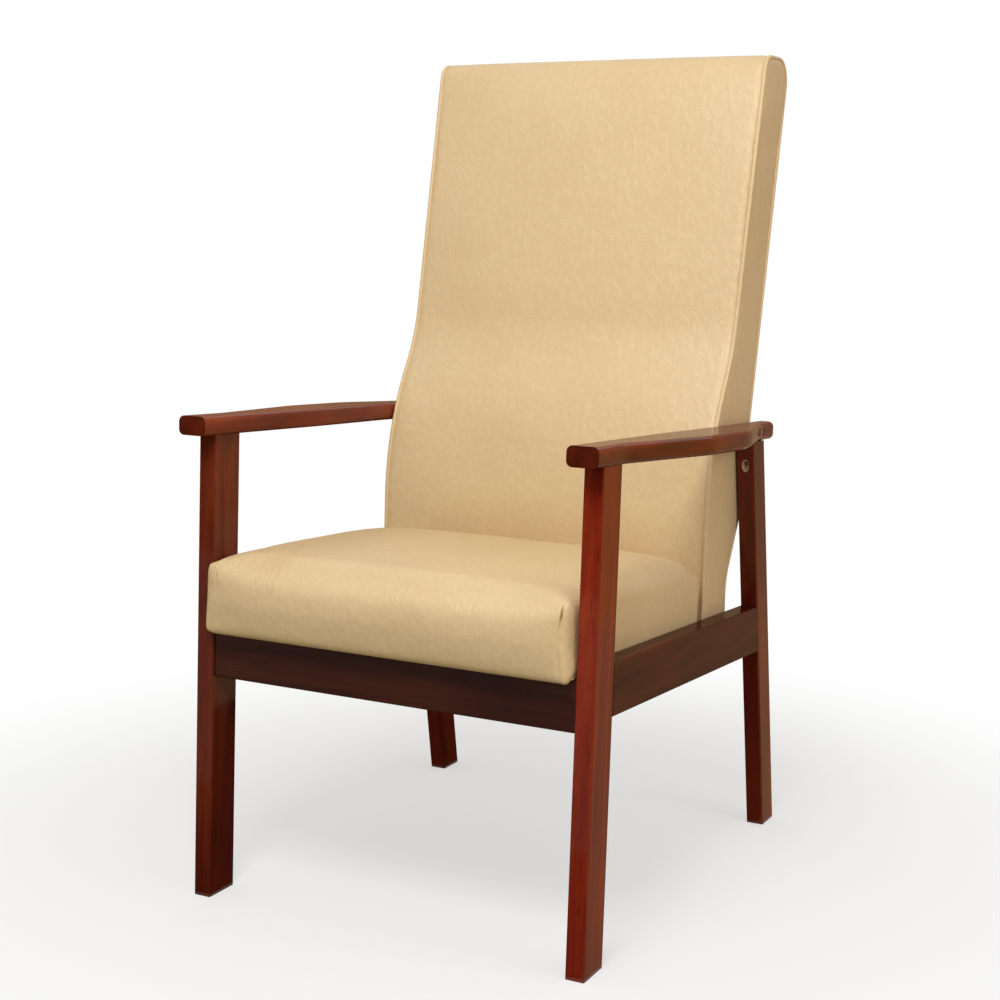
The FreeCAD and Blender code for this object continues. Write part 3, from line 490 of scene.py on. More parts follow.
def smoothOnce(piece):  # takes the steps out of a remeshed surface
    shape = opened(piece.data)
    bmesh.ops.smooth_vert(shape, verts=shape.verts, factor=0.5,
                          use_axis_x=True, use_axis_y=True, use_axis_z=True)
    shape.to_mesh(piece.data)
    shape.free()


def ease(low, high, value):  # 0 at low, 1 at high, soft between
    share = min(max((value - low) / (high - low), 0.0), 1.0)
    return share * share * (3 - 2 * share)


def cornersOf(points):  # low and high corner of the points' box
    low = Vector([min(point[axis] for point in points) for axis in range(3)])
    high = Vector([max(point[axis] for point in points) for axis in range(3)])
    return low, high


# Air pressure under a cloth skin

puffing = {"frames": 20, "quality": 4, "stiffness": 15, "bending": 0.5}


def swell(piece, held, cap, pad):  # no point rises past its cap
    mesh = piece.data
    rest = [vertex.co.copy() for vertex in mesh.vertices]
    ways = [vertex.normal.copy() for vertex in mesh.vertices]
    limits = np.array([cap(point, way) for point, way in zip(rest, ways)])
    still = np.array([held(point, way) for point, way in zip(rest, ways)])
    rises = limits.copy()
    ends = inflate(piece, np.flatnonzero(still).tolist(), pad["pressure"])
    rises = np.array([(end - point).dot(way) for end, point, way in zip(ends, rest, ways)])
    rises = np.clip(rises, 0.0, limits)
    rises[still] = 0.0
    rises = evened(mesh, rises, pad["evening"])
    for vertex, point, way, rise in zip(mesh.vertices, rest, ways, rises):
        vertex.co = point + way * float(rise)


def inflate(piece, fixed, pressure):  # where the simulation leaves each point
    group = piece.vertex_groups.new(name="held")
    group.add(fixed, 1.0, "REPLACE")
    puff = piece.modifiers.new("puff", "CLOTH")
    puff.settings.quality = puffing["quality"]
    puff.settings.use_pressure = True
    puff.settings.uniform_pressure_force = pressure
    puff.settings.effector_weights.gravity = 0
    puff.settings.vertex_group_mass = group.name
    puff.settings.tension_stiffness = puffing["stiffness"]
    puff.settings.compression_stiffness = puffing["stiffness"]
    puff.settings.bending_stiffness = puffing["bending"]
    puff.collision_settings.use_collision = False
    puff.point_cache.frame_end = puffing["frames"]
    for step in range(1, puffing["frames"] + 1):
        scene.frame_set(step)
    swollen = piece.evaluated_get(bpy.context.evaluated_depsgraph_get())
    ends = [vertex.co.copy() for vertex in swollen.data.vertices]
    piece.modifiers.clear()
    piece.vertex_groups.clear()
    scene.frame_set(1)
    return ends


def evened(mesh, values, rounds):  # each value drifts towards the mean of its neighbours
    pairs = np.array([edge.vertices[:] for edge in mesh.edges])
    ends = np.concatenate([pairs[:, 0], pairs[:, 1]])
    others = np.concatenate([pairs[:, 1], pairs[:, 0]])
    counts = np.bincount(ends, minlength=len(values))
    for _ in range(rounds):
        means = np.bincount(ends, weights=values[others], minlength=len(values)) / counts
        values = 0.5 * values + 0.5 * means
    return values


def blended(way, side, face, top):  # one rise out of three, by the way the skin faces
    return way.x ** 2 * side + way.y ** 2 * face + max(way.z, 0.0) ** 2 * top


# Measuring the carried-over pieces

measuring = {
    "legEnd": 0.1,  # share of a leg that counts as its foot or head
    "axisRounds": 30,
    "rim": 0.9,  # share of the head's radius that counts as its rim
    "neck": 1 * mm,  # the shank starts this far under the head
}


def leanOf(name):  # turn about X that stands Z along the leg
    points = [vertex.co for vertex in nodes[name].data.vertices]
    low, high = (corner.z for corner in cornersOf(points))
    reach = measuring["legEnd"] * (high - low)
    foot = [point.y for point in points if point.z < low + reach]
    head = [point.y for point in points if point.z > high - reach]
    return -math.atan2(sum(head) / len(head) - sum(foot) / len(foot), high - low)


def islandsOf(name):  # loose solids of a node, as lists of points
    shape = opened(nodes[name].data)
    bmesh.ops.remove_doubles(shape, verts=shape.verts, dist=weld)
    waiting = set(shape.verts)
    islands = []
    while waiting:
        front = [waiting.pop()]
        island = []
        while front:
            vertex = front.pop()
            island.append(vertex.co.copy())
            for edge in vertex.link_edges:
                other = edge.other_vert(vertex)
                if other in waiting:
                    waiting.remove(other)
                    front.append(other)
        islands.append(island)
    shape.free()
    return islands


def longAxis(points, centre):  # main direction of a long solid, by power iteration
    way = max((point - centre for point in points), key=lambda arm: arm.length).normalized()
    for _ in range(measuring["axisRounds"]):
        total = Vector()
        for point in points:
            arm = point - centre
            total += arm * arm.dot(way)
        way = total.normalized()
    return way


def measureScrew(points):  # head end, axis and the four sizes
    low, high = cornersOf(points)
    centre = (low + high) / 2
    way = longAxis(points, centre)
    reaches = []
    for point in points:
        along = (point - centre).dot(way)
        reaches.append((along, ((point - centre) - way * along).length))
    headRadius = max(radius for _, radius in reaches)
    headSpots = [along for along, radius in reaches if radius > measuring["rim"] * headRadius]
    if sum(headSpots) < 0:
        way = -way
        headSpots = [-along for along in headSpots]
        reaches = [(-along, radius) for along, radius in reaches]
    top = max(along for along, _ in reaches)
    tip = min(along for along, _ in reaches)
    under = min(headSpots)
    shanks = [radius for along, radius in reaches if along < under - measuring["neck"]]
    shank = max(shanks or [headRadius / 2])
    return centre + way * top, way, headRadius, top - under, shank, under - tip


# What each carried-over piece is made of

woodGrain = {
    "front_leg_left": alongZ, "front_leg_right": alongZ,
    "rear_leg_left": alongZ, "rear_leg_right": alongZ,
    "armrest_left": alongY, "armrest_right": alongY,
    "side_rail_left": alongY, "side_rail_right": alongY,
    "front_rail": alongX, "rear_rail": alongX,
}
stainsAndPaintedLight = {  # painted light and shade: the left front leg is toned lighter where the light falls on it, the other pieces darker where they stand in shade, the front rail in the seat's shadow
    "front_leg_left": {"paintedLightTone": (1.25, 0.92, 1.00)},
    "front_leg_right": {"paintedLightTone": (0.70, 0.75, 0.90)},
    "front_rail": {"paintedLightTone": (0.30, 0.45, 0.60)},
    "side_rail_left": {"paintedLightTone": (0.50, 0.55, 0.60), "lacquer": 0.40},
    "side_rail_right": {"paintedLightTone": (0.50, 0.55, 0.60), "lacquer": 0.40},
}
pockets = [measureScrew(points)[:2] for points in islandsOf("arm_pocket_screws")]


def pocketIn(name):  # axis of the screw pocket that opens in this leg
    low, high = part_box(name)
    middle = (Vector(low) + Vector(high)) / 2
    return min(pockets, key=lambda axis: (axis[0] - middle).xy.length)


def dress(name, finish):  # the node keeps this material only
    slots = nodes[name].data.materials
    slots.clear()
    slots.append(finish)


for count, (nodeName, along) in enumerate(woodGrain.items()):
    lean = 0.0
    special = dict(stainsAndPaintedLight.get(nodeName, {}))
    if along == alongZ:
        lean = leanOf(nodeName)
        special["bore"] = pocketIn(nodeName)
    shift = [step * count for step in mahogany["pieceShift"]]
    dress(nodeName, mahoganyFinish("mahogany_" + nodeName, along, lean, shift, **special))

creamVinyl = vinylFinish("cream_vinyl")
# painted shade: the back's side panels get a slightly darker copy of the cream vinyl
shadedSideVinyl = vinylFinish("side_vinyl", paintedLightTone=0.97)
zincSteel = steelFinish("zinc_steel")
innerFinishes = {
    beechFinish("beech_upright", alongZ): ["back_stile_left", "back_stile_right"],
    beechFinish("beech_across", alongX): [
        "back_top_rail", "back_middle_rail", "back_bottom_rail",
        "corner_blocks", "rail_dowels", "back_frame_dowels",
    ],
    beechFinish("beech_long", alongY): ["seat_bearer_left", "seat_bearer_right", "arm_dowels"],
    boardFinish("pressed_board"): ["seat_board", "back_rear_panel"],
    clothFinish("elastic_webbing"): ["back_webbing"],
    zincSteel: ["back_arm_inserts", "back_base_inserts"],
}
for finish, nodeNames in innerFinishes.items():
    for nodeName in nodeNames:
        dress(nodeName, finish)
print("finishes on the carried-over pieces:", len(woodGrain) + sum(map(len, innerFinishes.values())))


# Seat cushion
# Levels run from 0 at the hem to 1 where the top starts, reaches are distances from the front.

seat = {
    "inset": 0.3 * mm,  # the sides start this far inside the CAD cover
    "frontOut": 1.5 * mm,  # the front this far before it
    "under": 0.6 * mm,  # the skin wraps this far under the board
    "low": 8 * mm,  # and the top starts this far below the cover's
    "frontCorner": 10 * mm,
    "rearCorner": 20 * mm,
    "roll": 12 * mm,  # rounding of the top edges
    "rollSteps": 5,
    "hem": 2.5 * mm,  # rounding where the cover turns under
    "hemSteps": 2,
    "frontRoll": 36 * mm,  # the front's top edge is rounder between the corners
    "frontRollPower": 6,
    "belly": 11 * mm,  # fullness of the front in the base shape
    "bellyReach": (10 * mm, 60 * mm),
    "bellyPower": 8,  # higher keeps the front full nearer to its ends
    "voxel": 6 * mm,
    "pressure": 16,
    "evening": 6,
    "heldFacing": -0.8,  # skin that faces down more than this stays put
    "crown": 24 * mm,  # most that the middle of the top rises
    "crownPower": {"front": 2.5, "rear": 3.5, "across": 5},  # higher is fuller near the edge
    "edgeRise": 6 * mm,
    "frontBulge": 5 * mm,
    "sideBulge": 1.0 * mm,
    "fineWidth": 30 * mm,  # the mesh is finer at the front corners
    "fineReach": 8 * mm,
    "fineCuts": 2,
    "ear": {"left": -5 * mm, "right": 7 * mm},  # how far a front corner spreads before its leg
    "earWidth": 26 * mm,
    "earStart": 4 * mm,
    "earReach": {"left": 45 * mm, "right": 15 * mm},
    "earLow": {"left": 0.0, "right": 1.1},  # share of it at the lower edge, over the board
    "earHigh": 0.8,
    "earLevels": (0.05, 0.45),
    "droop": 5 * mm,  # the front edge hangs before the rail
    "droopReach": (8 * mm, 19 * mm),
    "droopLevels": (0.0, 0.35),
    "pleat": {"left": 8 * mm, "right": 0.0},  # depth of the slit where a corner is tucked
    "pleatReach": (4 * mm, 15 * mm),
    "pleatPlace": 14 * mm,  # from the cushion's end
    "pleatSway": 1.2 * mm,  # its line is not quite straight
    "pleatSways": 6,
    "pleatLean": 2 * mm,
    "pleatWidth": 1.4 * mm,
    "pleatFlare": 1.2,  # share that it is wider by below
    "pleatFlareLevels": (0.3, 0.8),
    "pleatLow": 0.25,  # share of its depth that it has below
    "pleatLowLevels": (0.0, 0.3),
    "pleatHighLevels": (0.62, 0.86),
    "pleatEndLevels": (1.0, 1.06),
    "flap": 2 * mm,  # the tucked corner hangs this much lower
    "flapEdge": (-9 * mm, 2 * mm),  # from the pleat
    "rearFall": 40 * mm,  # the top rolls down this much at the back
    "rearLength": 65 * mm,
    "rearLimit": 0.98,
    "rearLevels": (0.1, 1.0),
    "waviness": 0.8 * mm,
    "waves": (14, 9, 20),  # per metre
    "waveLevels": (0.05, 0.4),
    "bunches": 13,  # groups of gathers per metre, along the front's roll
    "bunchRow": 7.0,
    "bunchBias": 0.25,
    "bunchReach": (15 * mm, 40 * mm),
    "bunchStart": (0.62, 0.80),
    "bunchEnd": (1.0, 1.15),
}


def seatAxes():  # right, rearward and up of the tilted seat
    up = Vector()
    for face in nodes["seat_board"].data.polygons:
        if face.normal.z > 0.9:  # the board's upper face
            up += face.normal * face.area
    up.normalize()
    right = Vector((1, 0, 0))
    return Matrix((right, up.cross(right), up)).transposed()


seatTurn = seatAxes()
seatBack = seatTurn.inverted()


def seatBox(name):  # box of this node in the seat's own axes
    return cornersOf([seatBack @ vertex.co for vertex in nodes[name].data.vertices])


def rimEdges(shape, level):  # edges round the flat face at this height
    return [edge for edge in shape.edges
            if all(abs(vertex.co.z - level) < 0.1 * mm for vertex in edge.verts)
            and any(abs(face.normal.z) < 0.5 for face in edge.link_faces)]


def seatBlock(start, end):  # a box in the seat's axes with rounded edges
    shape = bmesh.new()
    bmesh.ops.create_cube(shape, size=1.0)
    size = end - start
    middle = (start + end) / 2
    bmesh.ops.scale(shape, vec=size, verts=shape.verts)
    bmesh.ops.translate(shape, vec=middle, verts=shape.verts)
    for atFront, radius in ((True, seat["frontCorner"]), (False, seat["rearCorner"])):
        uprights = []
        for edge in shape.edges:
            first, second = (vertex.co for vertex in edge.verts)
            isUpright = abs(first.z - second.z) > size.z * 0.9
            if isUpright and (first.y < middle.y) == atFront:
                uprights.append(edge)
        bevel(shape, uprights, radius, seat["rollSteps"])
    bevel(shape, rimEdges(shape, end.z), seat["roll"], seat["rollSteps"])
    bevel(shape, rimEdges(shape, start.z), seat["hem"], seat["hemSteps"])
    return shape


def makeSeatCushion():
    low, high = seatBox("seat_cover")
    inset = seat["inset"]
    start = Vector((low.x + inset, low.y - seat["frontOut"], low.z - seat["under"]))
    end = Vector((high.x - inset, high.y - inset, high.z - seat["low"]))
    shape = seatBlock(start, end)
    bmesh.ops.transform(shape, matrix=seatTurn.to_4x4(), verts=shape.verts)
    cushion = newPiece("seatCushion", shape, creamVinyl)
    remesh(cushion, seat["voxel"])
    for vertex in cushion.data.vertices:
        vertex.co = seatTurn @ fullFront(seatBack @ vertex.co, start, end)
    smoothOnce(cushion)
    middle = (start + end) / 2
    half = (end - start) / 2

    def held(_, way):
        return (seatBack @ way).z < seat["heldFacing"]

    def cap(point, way):
        spot = seatBack @ point
        look = seatBack @ way
        powers = seat["crownPower"]
        across = abs(spot.x - middle.x) / half.x
        along = abs(spot.y - middle.y) / half.y
        power = powers["rear" if spot.y > middle.y else "front"]
        crown = max((1 - across ** powers["across"]) * (1 - along ** power), 0.0)
        rise = seat["edgeRise"] + (seat["crown"] - seat["edgeRise"]) * crown
        height = min(max((spot.z - start.z) / (end.z - start.z), 0.0), 1.0)
        face = seat["frontBulge"] * math.sin(math.pi * height) * (1 - across ** seat["bellyPower"])
        if look.y > 0.5:  # the rear face
            face = seat["sideBulge"]
        return blended(look, seat["sideBulge"], face, rise)

    swell(cushion, held, cap, seat)
    subdivide(cushion)
    refineCorners(cushion, start, end)
    dressSeat(cushion, start, end)
    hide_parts("seat_cover", "seat_foam")


def fullFront(spot, start, end):  # rolls the front's top edge over and fills the face below
    across = abs(spot.x) / end.x
    fullness = 1 - across ** seat["frontRollPower"]
    radius = seat["roll"] + (seat["frontRoll"] - seat["roll"]) * fullness
    inward = max(1 - (spot.y - start.y) / radius, 0.0)
    upward = max(1 - (end.z - spot.z) / radius, 0.0)
    reach = max(math.hypot(inward, upward), 1.0)
    if inward and upward:
        spot.y = start.y + radius * (1 - inward / reach)
        spot.z = end.z - radius * (1 - upward / reach)
    height = min(max((spot.z - start.z) / (end.z - start.z), 0.0), 1.0)
    belly = seat["belly"] * (1 - across ** seat["bellyPower"])
    spot.y -= belly * math.sin(math.pi * height) * (1 - ease(*seat["bellyReach"], spot.y - start.y))
    return spot


def refineCorners(cushion, start, end):  # a finer mesh where the cover is folded
    shape = opened(cushion.data)

    def isNear(vertex):
        spot = seatBack @ vertex.co
        return abs(spot.x) > end.x - seat["fineWidth"] and spot.y < start.y + seat["fineReach"]

    edges = [edge for edge in shape.edges if all(isNear(vertex) for vertex in edge.verts)]
    bmesh.ops.subdivide_edges(shape, edges=edges, cuts=seat["fineCuts"], use_grid_fill=True)
    shape.to_mesh(cushion.data)
    shape.free()
    shadeSmooth(cushion.data)


def earSpread(sideName, fromEnd, fromFront, level):  # how far the corner moves outwards
    low = seat["earLow"][sideName]
    spread = seat["ear"][sideName] * (1 - ease(0, seat["earWidth"], fromEnd))
    spread *= 1 - ease(seat["earStart"], seat["earReach"][sideName], fromFront)
    return spread * (low + (seat["earHigh"] - low) * ease(*seat["earLevels"], level))


def pleatGroove(fromEnd, fromFront, level):  # up to 1 along the slit of a tucked corner
    sway = seat["pleatSway"] * math.sin(seat["pleatSways"] * level)
    line = seat["pleatPlace"] + sway - seat["pleatLean"] * level
    flare = seat["pleatFlare"] * (1 - ease(*seat["pleatFlareLevels"], level))
    width = seat["pleatWidth"] * (1 + flare)
    groove = math.exp(-((fromEnd - line) / width) ** 2)
    groove *= 1 - ease(*seat["pleatReach"], fromFront)
    below = seat["pleatLow"] * ease(*seat["pleatLowLevels"], level)
    above = (1 - seat["pleatLow"]) * ease(*seat["pleatHighLevels"], level)
    return groove * (below + above) * (1 - ease(*seat["pleatEndLevels"], level))


def seatHang(tucked, fromEnd, fromFront, fromRear, level):  # how far the skin comes down
    overhang = 1 - ease(*seat["droopReach"], fromFront)
    overhang *= 1 - ease(*seat["droopLevels"], level)
    hang = seat["droop"] * overhang
    if tucked:
        outer, inner = (seat["pleatPlace"] + step for step in seat["flapEdge"])
        hang += seat["flap"] * overhang * (1 - ease(outer, inner, fromEnd))
    share = min(max(1 - fromRear / seat["rearLength"], 0.0), seat["rearLimit"])
    return hang + seat["rearFall"] * (1 - math.sqrt(1 - share ** 2)) * ease(*seat["rearLevels"], level)


def gatherShare(spot, fromFront, level):  # where the front's roll is gathered
    bunch = noise.noise(Vector((spot.x * seat["bunches"], seat["bunchRow"], 0.0)))
    onRoll = ease(*seat["bunchStart"], level) * (1 - ease(*seat["bunchEnd"], level))
    onRoll *= 1 - ease(*seat["bunchReach"], fromFront)
    return max(bunch + seat["bunchBias"], 0.0) * onRoll


def dressSeat(cushion, start, end):  # corner tuck with painted shade marked along its slit, spread corners, gathers and slight waves
    for name in ("gather", "tuck"):
        cushion.data.attributes.new(name, "FLOAT", "POINT")
    gathers = cushion.data.attributes["gather"]
    foldShades = cushion.data.attributes["tuck"]
    ways = [vertex.normal.copy() for vertex in cushion.data.vertices]
    for vertex, way in zip(cushion.data.vertices, ways):
        spot = seatBack @ vertex.co
        level = (spot.z - start.z) / (end.z - start.z)
        sideName = "left" if spot.x > 0 else "right"
        pleat = seat["pleat"][sideName]
        fromEnd = end.x - abs(spot.x)
        fromFront = spot.y - start.y
        groove = pleatGroove(fromEnd, fromFront, level) if pleat else 0.0
        wave = noise.noise(Vector([part * rate for part, rate in zip(spot, seat["waves"])]))
        wave *= seat["waviness"] * ease(*seat["waveLevels"], level)
        gathers.data[vertex.index].value = gatherShare(spot, fromFront, level)
        # the slit's groove also sets how much painted shade the fold gets
        foldShades.data[vertex.index].value = groove
        spot.z -= seatHang(pleat, fromEnd, fromFront, end.y - spot.y, level)
        spot.x += earSpread(sideName, fromEnd, fromFront, level) * sides[sideName]
        vertex.co = seatTurn @ spot - way * (groove * pleat - wave)


makeSeatCushion()
print("seat cushion swollen and tucked")


# Back cushion with its side panels and piping
# Levels are heights above the floor in metres.

back = {
    "outlineInset": 0.01 * mm,
    "edgeRound": 6 * mm,  # roll of the skin along both seams
    "edgeSteps": 3,
    "voxel": 7 * mm,
    "pressure": 4,
    "evening": 25,
    "seamFacing": (0.2, 0.97),  # skin that faces sideways between these is a seam
    "footHeld": 20 * mm,
    "crown": 10 * mm,
    "crownPower": 4,
    "bridge": 8 * mm,  # the skin spans the hollow of the waist
    "waist": 0.745,
    "waistReach": 0.09,
    "topRise": 2 * mm,
    "rearRise": 1.5 * mm,
    "sideRise": 2.5 * mm,  # above the arms, where nothing is close
    "sideSlim": 0.8 * mm,
    "armLevels": (0.72, 0.80),
    "flare": 3.5 * mm,  # the top corners stand out
    "flareLevels": (1.03, 1.11),
    "flarePower": 4,
    "tuckLevels": (0.44, 0.58),  # below these the seat hides the back, and it stays slim
    "tuckShare": 0.2,  # of the crown
    "panelThick": 0.8 * mm,
    "panelFacing": 0.6,  # skin that faces sideways more than this is the panel's
    "panelReach": 20 * mm,
    "pipingRadius": 3 * mm,
    "pipingInset": 2.8 * mm,
    "pipingSteps": 4,
    "pipingFoot": 1 * mm,  # the piping is open along the cushion's foot
}


def sideOutline(name):  # outer loop of the node's +X end, as (y, z) points in order
    shape = opened(nodes[name].data)
    bmesh.ops.remove_doubles(shape, verts=shape.verts, dist=weld)
    reach = max(vertex.co.x for vertex in shape.verts)
    ends = {face for face in shape.faces
            if face.normal.x > 0.9 and all(vertex.co.x > reach - 0.2 * mm for vertex in face.verts)}
    rims = [edge for edge in shape.edges if sum(face in ends for face in edge.link_faces) == 1]
    loops = []
    while rims:
        edge = rims.pop()
        loop = [edge.verts[0], edge.verts[1]]
        while True:
            following = [rim for rim in rims if loop[-1] in rim.verts]
            if not following:
                break
            rims.remove(following[0])
            loop.append(following[0].other_vert(loop[-1]))
        loops.append([(vertex.co.y, vertex.co.z) for vertex in loop[:-1]])
    shape.free()
    heights = [max(z for _, z in loop) - min(z for _, z in loop) for loop in loops]
    return loops[heights.index(max(heights))]


def insetFace(points, x, depth):  # a bmesh with the outline as one face, drawn in by depth
    shape = bmesh.new()
    face = shape.faces.new([shape.verts.new((x, y, z)) for y, z in points])
    shape.normal_update()
    rim = bmesh.ops.inset_region(shape, faces=[face], thickness=depth, use_boundary=True,
                                 use_even_offset=True)["faces"]
    bmesh.ops.delete(shape, geom=rim, context="FACES")
    return shape


def flareAt(z):  # how far the sides stand out at this height
    return back["flare"] * ease(*back["flareLevels"], z)


def makeBackCushion():
    points = sideOutline("back_cover")
    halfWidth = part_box("back_side_panel_left")[1][0]
    wide = halfWidth - back["panelThick"]
    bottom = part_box("back_cover")[0][2]
    shape = insetFace(points, -wide, back["outlineInset"])
    grown = bmesh.ops.extrude_face_region(shape, geom=shape.faces[:])["geom"]
    moved = [item for item in grown if isinstance(item, bmesh.types.BMVert)]
    bmesh.ops.translate(shape, vec=(2 * wide, 0, 0), verts=moved)
    bmesh.ops.recalc_face_normals(shape, faces=shape.faces)
    seams = [edge for edge in shape.edges
             if any(abs(face.normal.x) > 0.9 for face in edge.link_faces)]
    bevel(shape, seams, back["edgeRound"], back["edgeSteps"])
    cushion = newPiece("backCushion", shape, creamVinyl)
    remesh(cushion, back["voxel"])
    smoothOnce(cushion)

    def held(point, way):
        least, most = back["seamFacing"]
        return least < abs(way.x) < most or point.z < bottom + back["footHeld"]

    def cap(point, way):
        across = abs(point.x) / wide
        crown = max(1 - across ** back["crownPower"], 0.0)
        upper = back["tuckShare"] + (1 - back["tuckShare"]) * ease(*back["tuckLevels"], point.z)
        hollow = math.exp(-((point.z - back["waist"]) / back["waistReach"]) ** 2)
        front = (back["crown"] * upper + back["bridge"] * hollow) * crown
        face = back["rearRise"] if way.y > 0 else front
        clear = ease(*back["armLevels"], point.z)
        side = back["sideSlim"] + (back["sideRise"] - back["sideSlim"]) * clear
        return blended(way, side, face, back["topRise"] * crown)

    swell(cushion, held, cap, back)
    subdivide(cushion)
    for vertex in cushion.data.vertices:
        share = (vertex.co.x / wide) ** back["flarePower"]
        vertex.co.x += math.copysign(flareAt(vertex.co.z), vertex.co.x) * share
    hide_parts("back_cover", "back_foam")
    for name, side in sides.items():
        makeSidePanel(cushion, name, side)
        makePiping(points, halfWidth, bottom, name, side)


def makeSidePanel(cushion, name, side):  # a skin lifted off the cushion's flat side
    shape = opened(cushion.data)
    extra = [face for face in shape.faces if face.normal.x * side < back["panelFacing"]]
    bmesh.ops.delete(shape, geom=extra, context="FACES")
    inner = max(vertex.co.x * side for vertex in shape.verts) - back["panelReach"]
    stray = [face for face in shape.faces if face.calc_center_median().x * side < inner]
    bmesh.ops.delete(shape, geom=stray, context="FACES")
    bmesh.ops.solidify(shape, geom=shape.faces[:], thickness=-back["panelThick"])
    bmesh.ops.recalc_face_normals(shape, faces=shape.faces)
    panel = newPiece("backSidePanel_" + name, shape, shadedSideVinyl)
    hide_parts("back_side_panel_" + name)


def makePiping(points, halfWidth, bottom, name, side):
    shape = insetFace(points, 0.0, back["pipingInset"])
    ring = [vertex.co.copy() for vertex in shape.faces[:][0].verts]
    shape.free()
    foot = bottom + back["pipingInset"] + back["pipingFoot"]
    gaps = [index for index, point in enumerate(ring)
            if point.z < foot and ring[(index + 1) % len(ring)].z < foot]
    first = (gaps[0] + 1) % len(ring)
    route = ring[first:] + ring[:first]
    x = side * (halfWidth - back["pipingInset"])
    curve = bpy.data.curves.new("pipingRoute", "CURVE")
    curve.dimensions = "3D"
    curve.bevel_depth = back["pipingRadius"]
    curve.bevel_resolution = back["pipingSteps"]
    curve.use_fill_caps = True
    spline = curve.splines.new("POLY")
    spline.points.add(len(route) - 1)
    for spot, point in zip(spline.points, route):
        spot.co = (x + side * flareAt(point.z), point.y, point.z, 1.0)
    tube = bpy.data.objects.new("pipingRoute", curve)
    scene.collection.objects.link(tube)
    ready = tube.evaluated_get(bpy.context.evaluated_depsgraph_get())
    shape = opened(bpy.data.meshes.new_from_object(ready))
    bpy.data.objects.remove(tube)
    bmesh.ops.recalc_face_normals(shape, faces=shape.faces)
    piping = newPiece("backPiping_" + name, shape, creamVinyl)
    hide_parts("back_piping_" + name)


makeBackCushion()
print("back cushion swollen, side panels and piping laid")


# Dust cover under the seat

dust = {
    "rows": 24,
    "thick": 0.6 * mm,
    "sag": 5 * mm,
    "sagMargin": (14 * mm, 0.12),  # from the edge: held up to the first, slack from the second
    "puckers": 22,  # per metre
}


def makeDustCover():
    low, high = seatBox("seat_dust_cover")
    size = high - low
    middle = (low + high) / 2
    shape = bmesh.new()
    bmesh.ops.create_grid(shape, x_segments=dust["rows"], y_segments=dust["rows"], size=0.5)
    bmesh.ops.scale(shape, vec=(size.x, size.y, 1), verts=shape.verts)
    for vertex in shape.verts:
        margin = min(size.x / 2 - abs(vertex.co.x), size.y / 2 - abs(vertex.co.y))
        slack = ease(*dust["sagMargin"], margin)
        pucker = noise.noise(Vector((vertex.co.x * dust["puckers"], vertex.co.y * dust["puckers"], 0)))
        vertex.co.z -= dust["sag"] * slack * (1 + pucker / 4)
    bmesh.ops.translate(shape, vec=(middle.x, middle.y, low.z), verts=shape.verts)
    bmesh.ops.transform(shape, matrix=seatTurn.to_4x4(), verts=shape.verts)
    bmesh.ops.recalc_face_normals(shape, faces=shape.faces)
    bmesh.ops.solidify(shape, geom=shape.faces[:], thickness=dust["thick"])
    bmesh.ops.recalc_face_normals(shape, faces=shape.faces)
    cover = newPiece("seatDustCover", shape, clothFinish("dust_cloth"))
    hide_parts("seat_dust_cover")


makeDustCover()
print("dust cover hung")


# Screws and bolts with driven heads

screw = {
    "steps": 20,  # faces round the head
    # the head's side, as shares of its radius and height
    "headTurn": [(0, 0), (0.45, 0.02), (0.78, 0.14), (0.95, 0.38), (1.0, 0.72), (1.0, 1.0)],
    "straight": 0.9,  # share of the shank before its point
    "driveDepth": 0.6,  # share of the head's height
    "hexRadius": 0.5,  # this and the next two are shares of the head's radius
    "crossLength": 1.1,
    "crossWidth": 0.26,
}
paleZinc = steelFinish("pale_zinc")
screwGroups = {
    "arm_pocket_screws": ("cross", zincSteel),
    "seat_screws": ("cross", zincSteel),
    "bearer_screws": ("cross", zincSteel),
    "corner_block_screws": ("cross", zincSteel),
    "back_arm_bolts": ("cross", paleZinc),
    "back_base_bolts": ("hex", zincSteel),
}


def cutAway(piece, cutter):
    bite = piece.modifiers.new("bite", "BOOLEAN")
    bite.operation = "DIFFERENCE"
    bite.solver = "EXACT"
    bite.object = cutter
    settle(piece)
    bpy.data.objects.remove(cutter)


def hexCutter(radius, depth):
    shape = bmesh.new()
    wide = radius * screw["hexRadius"]
    bmesh.ops.create_cone(shape, cap_ends=True, segments=6, radius1=wide, radius2=wide, depth=2 * depth)
    return linked("hexCutter", shape)


def crossCutter(radius, depth, turn):  # one bar of the cross
    shape = bmesh.new()
    bmesh.ops.create_cube(shape, size=1.0)
    size = (radius * screw["crossLength"], radius * screw["crossWidth"], 2 * depth)
    bmesh.ops.scale(shape, vec=size, verts=shape.verts)
    bmesh.ops.rotate(shape, matrix=Matrix.Rotation(turn, 3, "Z"), verts=shape.verts)
    return linked("crossCutter", shape)


def screwPattern(style, headRadius, headHeight, shank, length):  # head top at Z 0, shank down
    profile = [(headRadius * r, -headHeight * z) for r, z in screw["headTurn"]]
    profile.append((shank, -headHeight))
    profile.append((shank, -headHeight - length * screw["straight"]))
    profile.append((0, -headHeight - length))
    shape = bmesh.new()
    corners = [shape.verts.new((r, 0, z)) for r, z in profile]
    rims = [shape.edges.new(pair) for pair in zip(corners, corners[1:])]
    bmesh.ops.spin(shape, geom=corners + rims, cent=(0, 0, 0), axis=(0, 0, 1), angle=math.tau,
                   steps=screw["steps"], use_merge=True)
    bmesh.ops.remove_doubles(shape, verts=shape.verts, dist=weld)
    bmesh.ops.recalc_face_normals(shape, faces=shape.faces)
    pattern = linked("screwPattern", shape)
    depth = headHeight * screw["driveDepth"]
    if style == "hex":
        cutAway(pattern, hexCutter(headRadius, depth))
    else:
        for turn in (0, math.pi / 2):
            cutAway(pattern, crossCutter(headRadius, depth, turn))
    return pattern


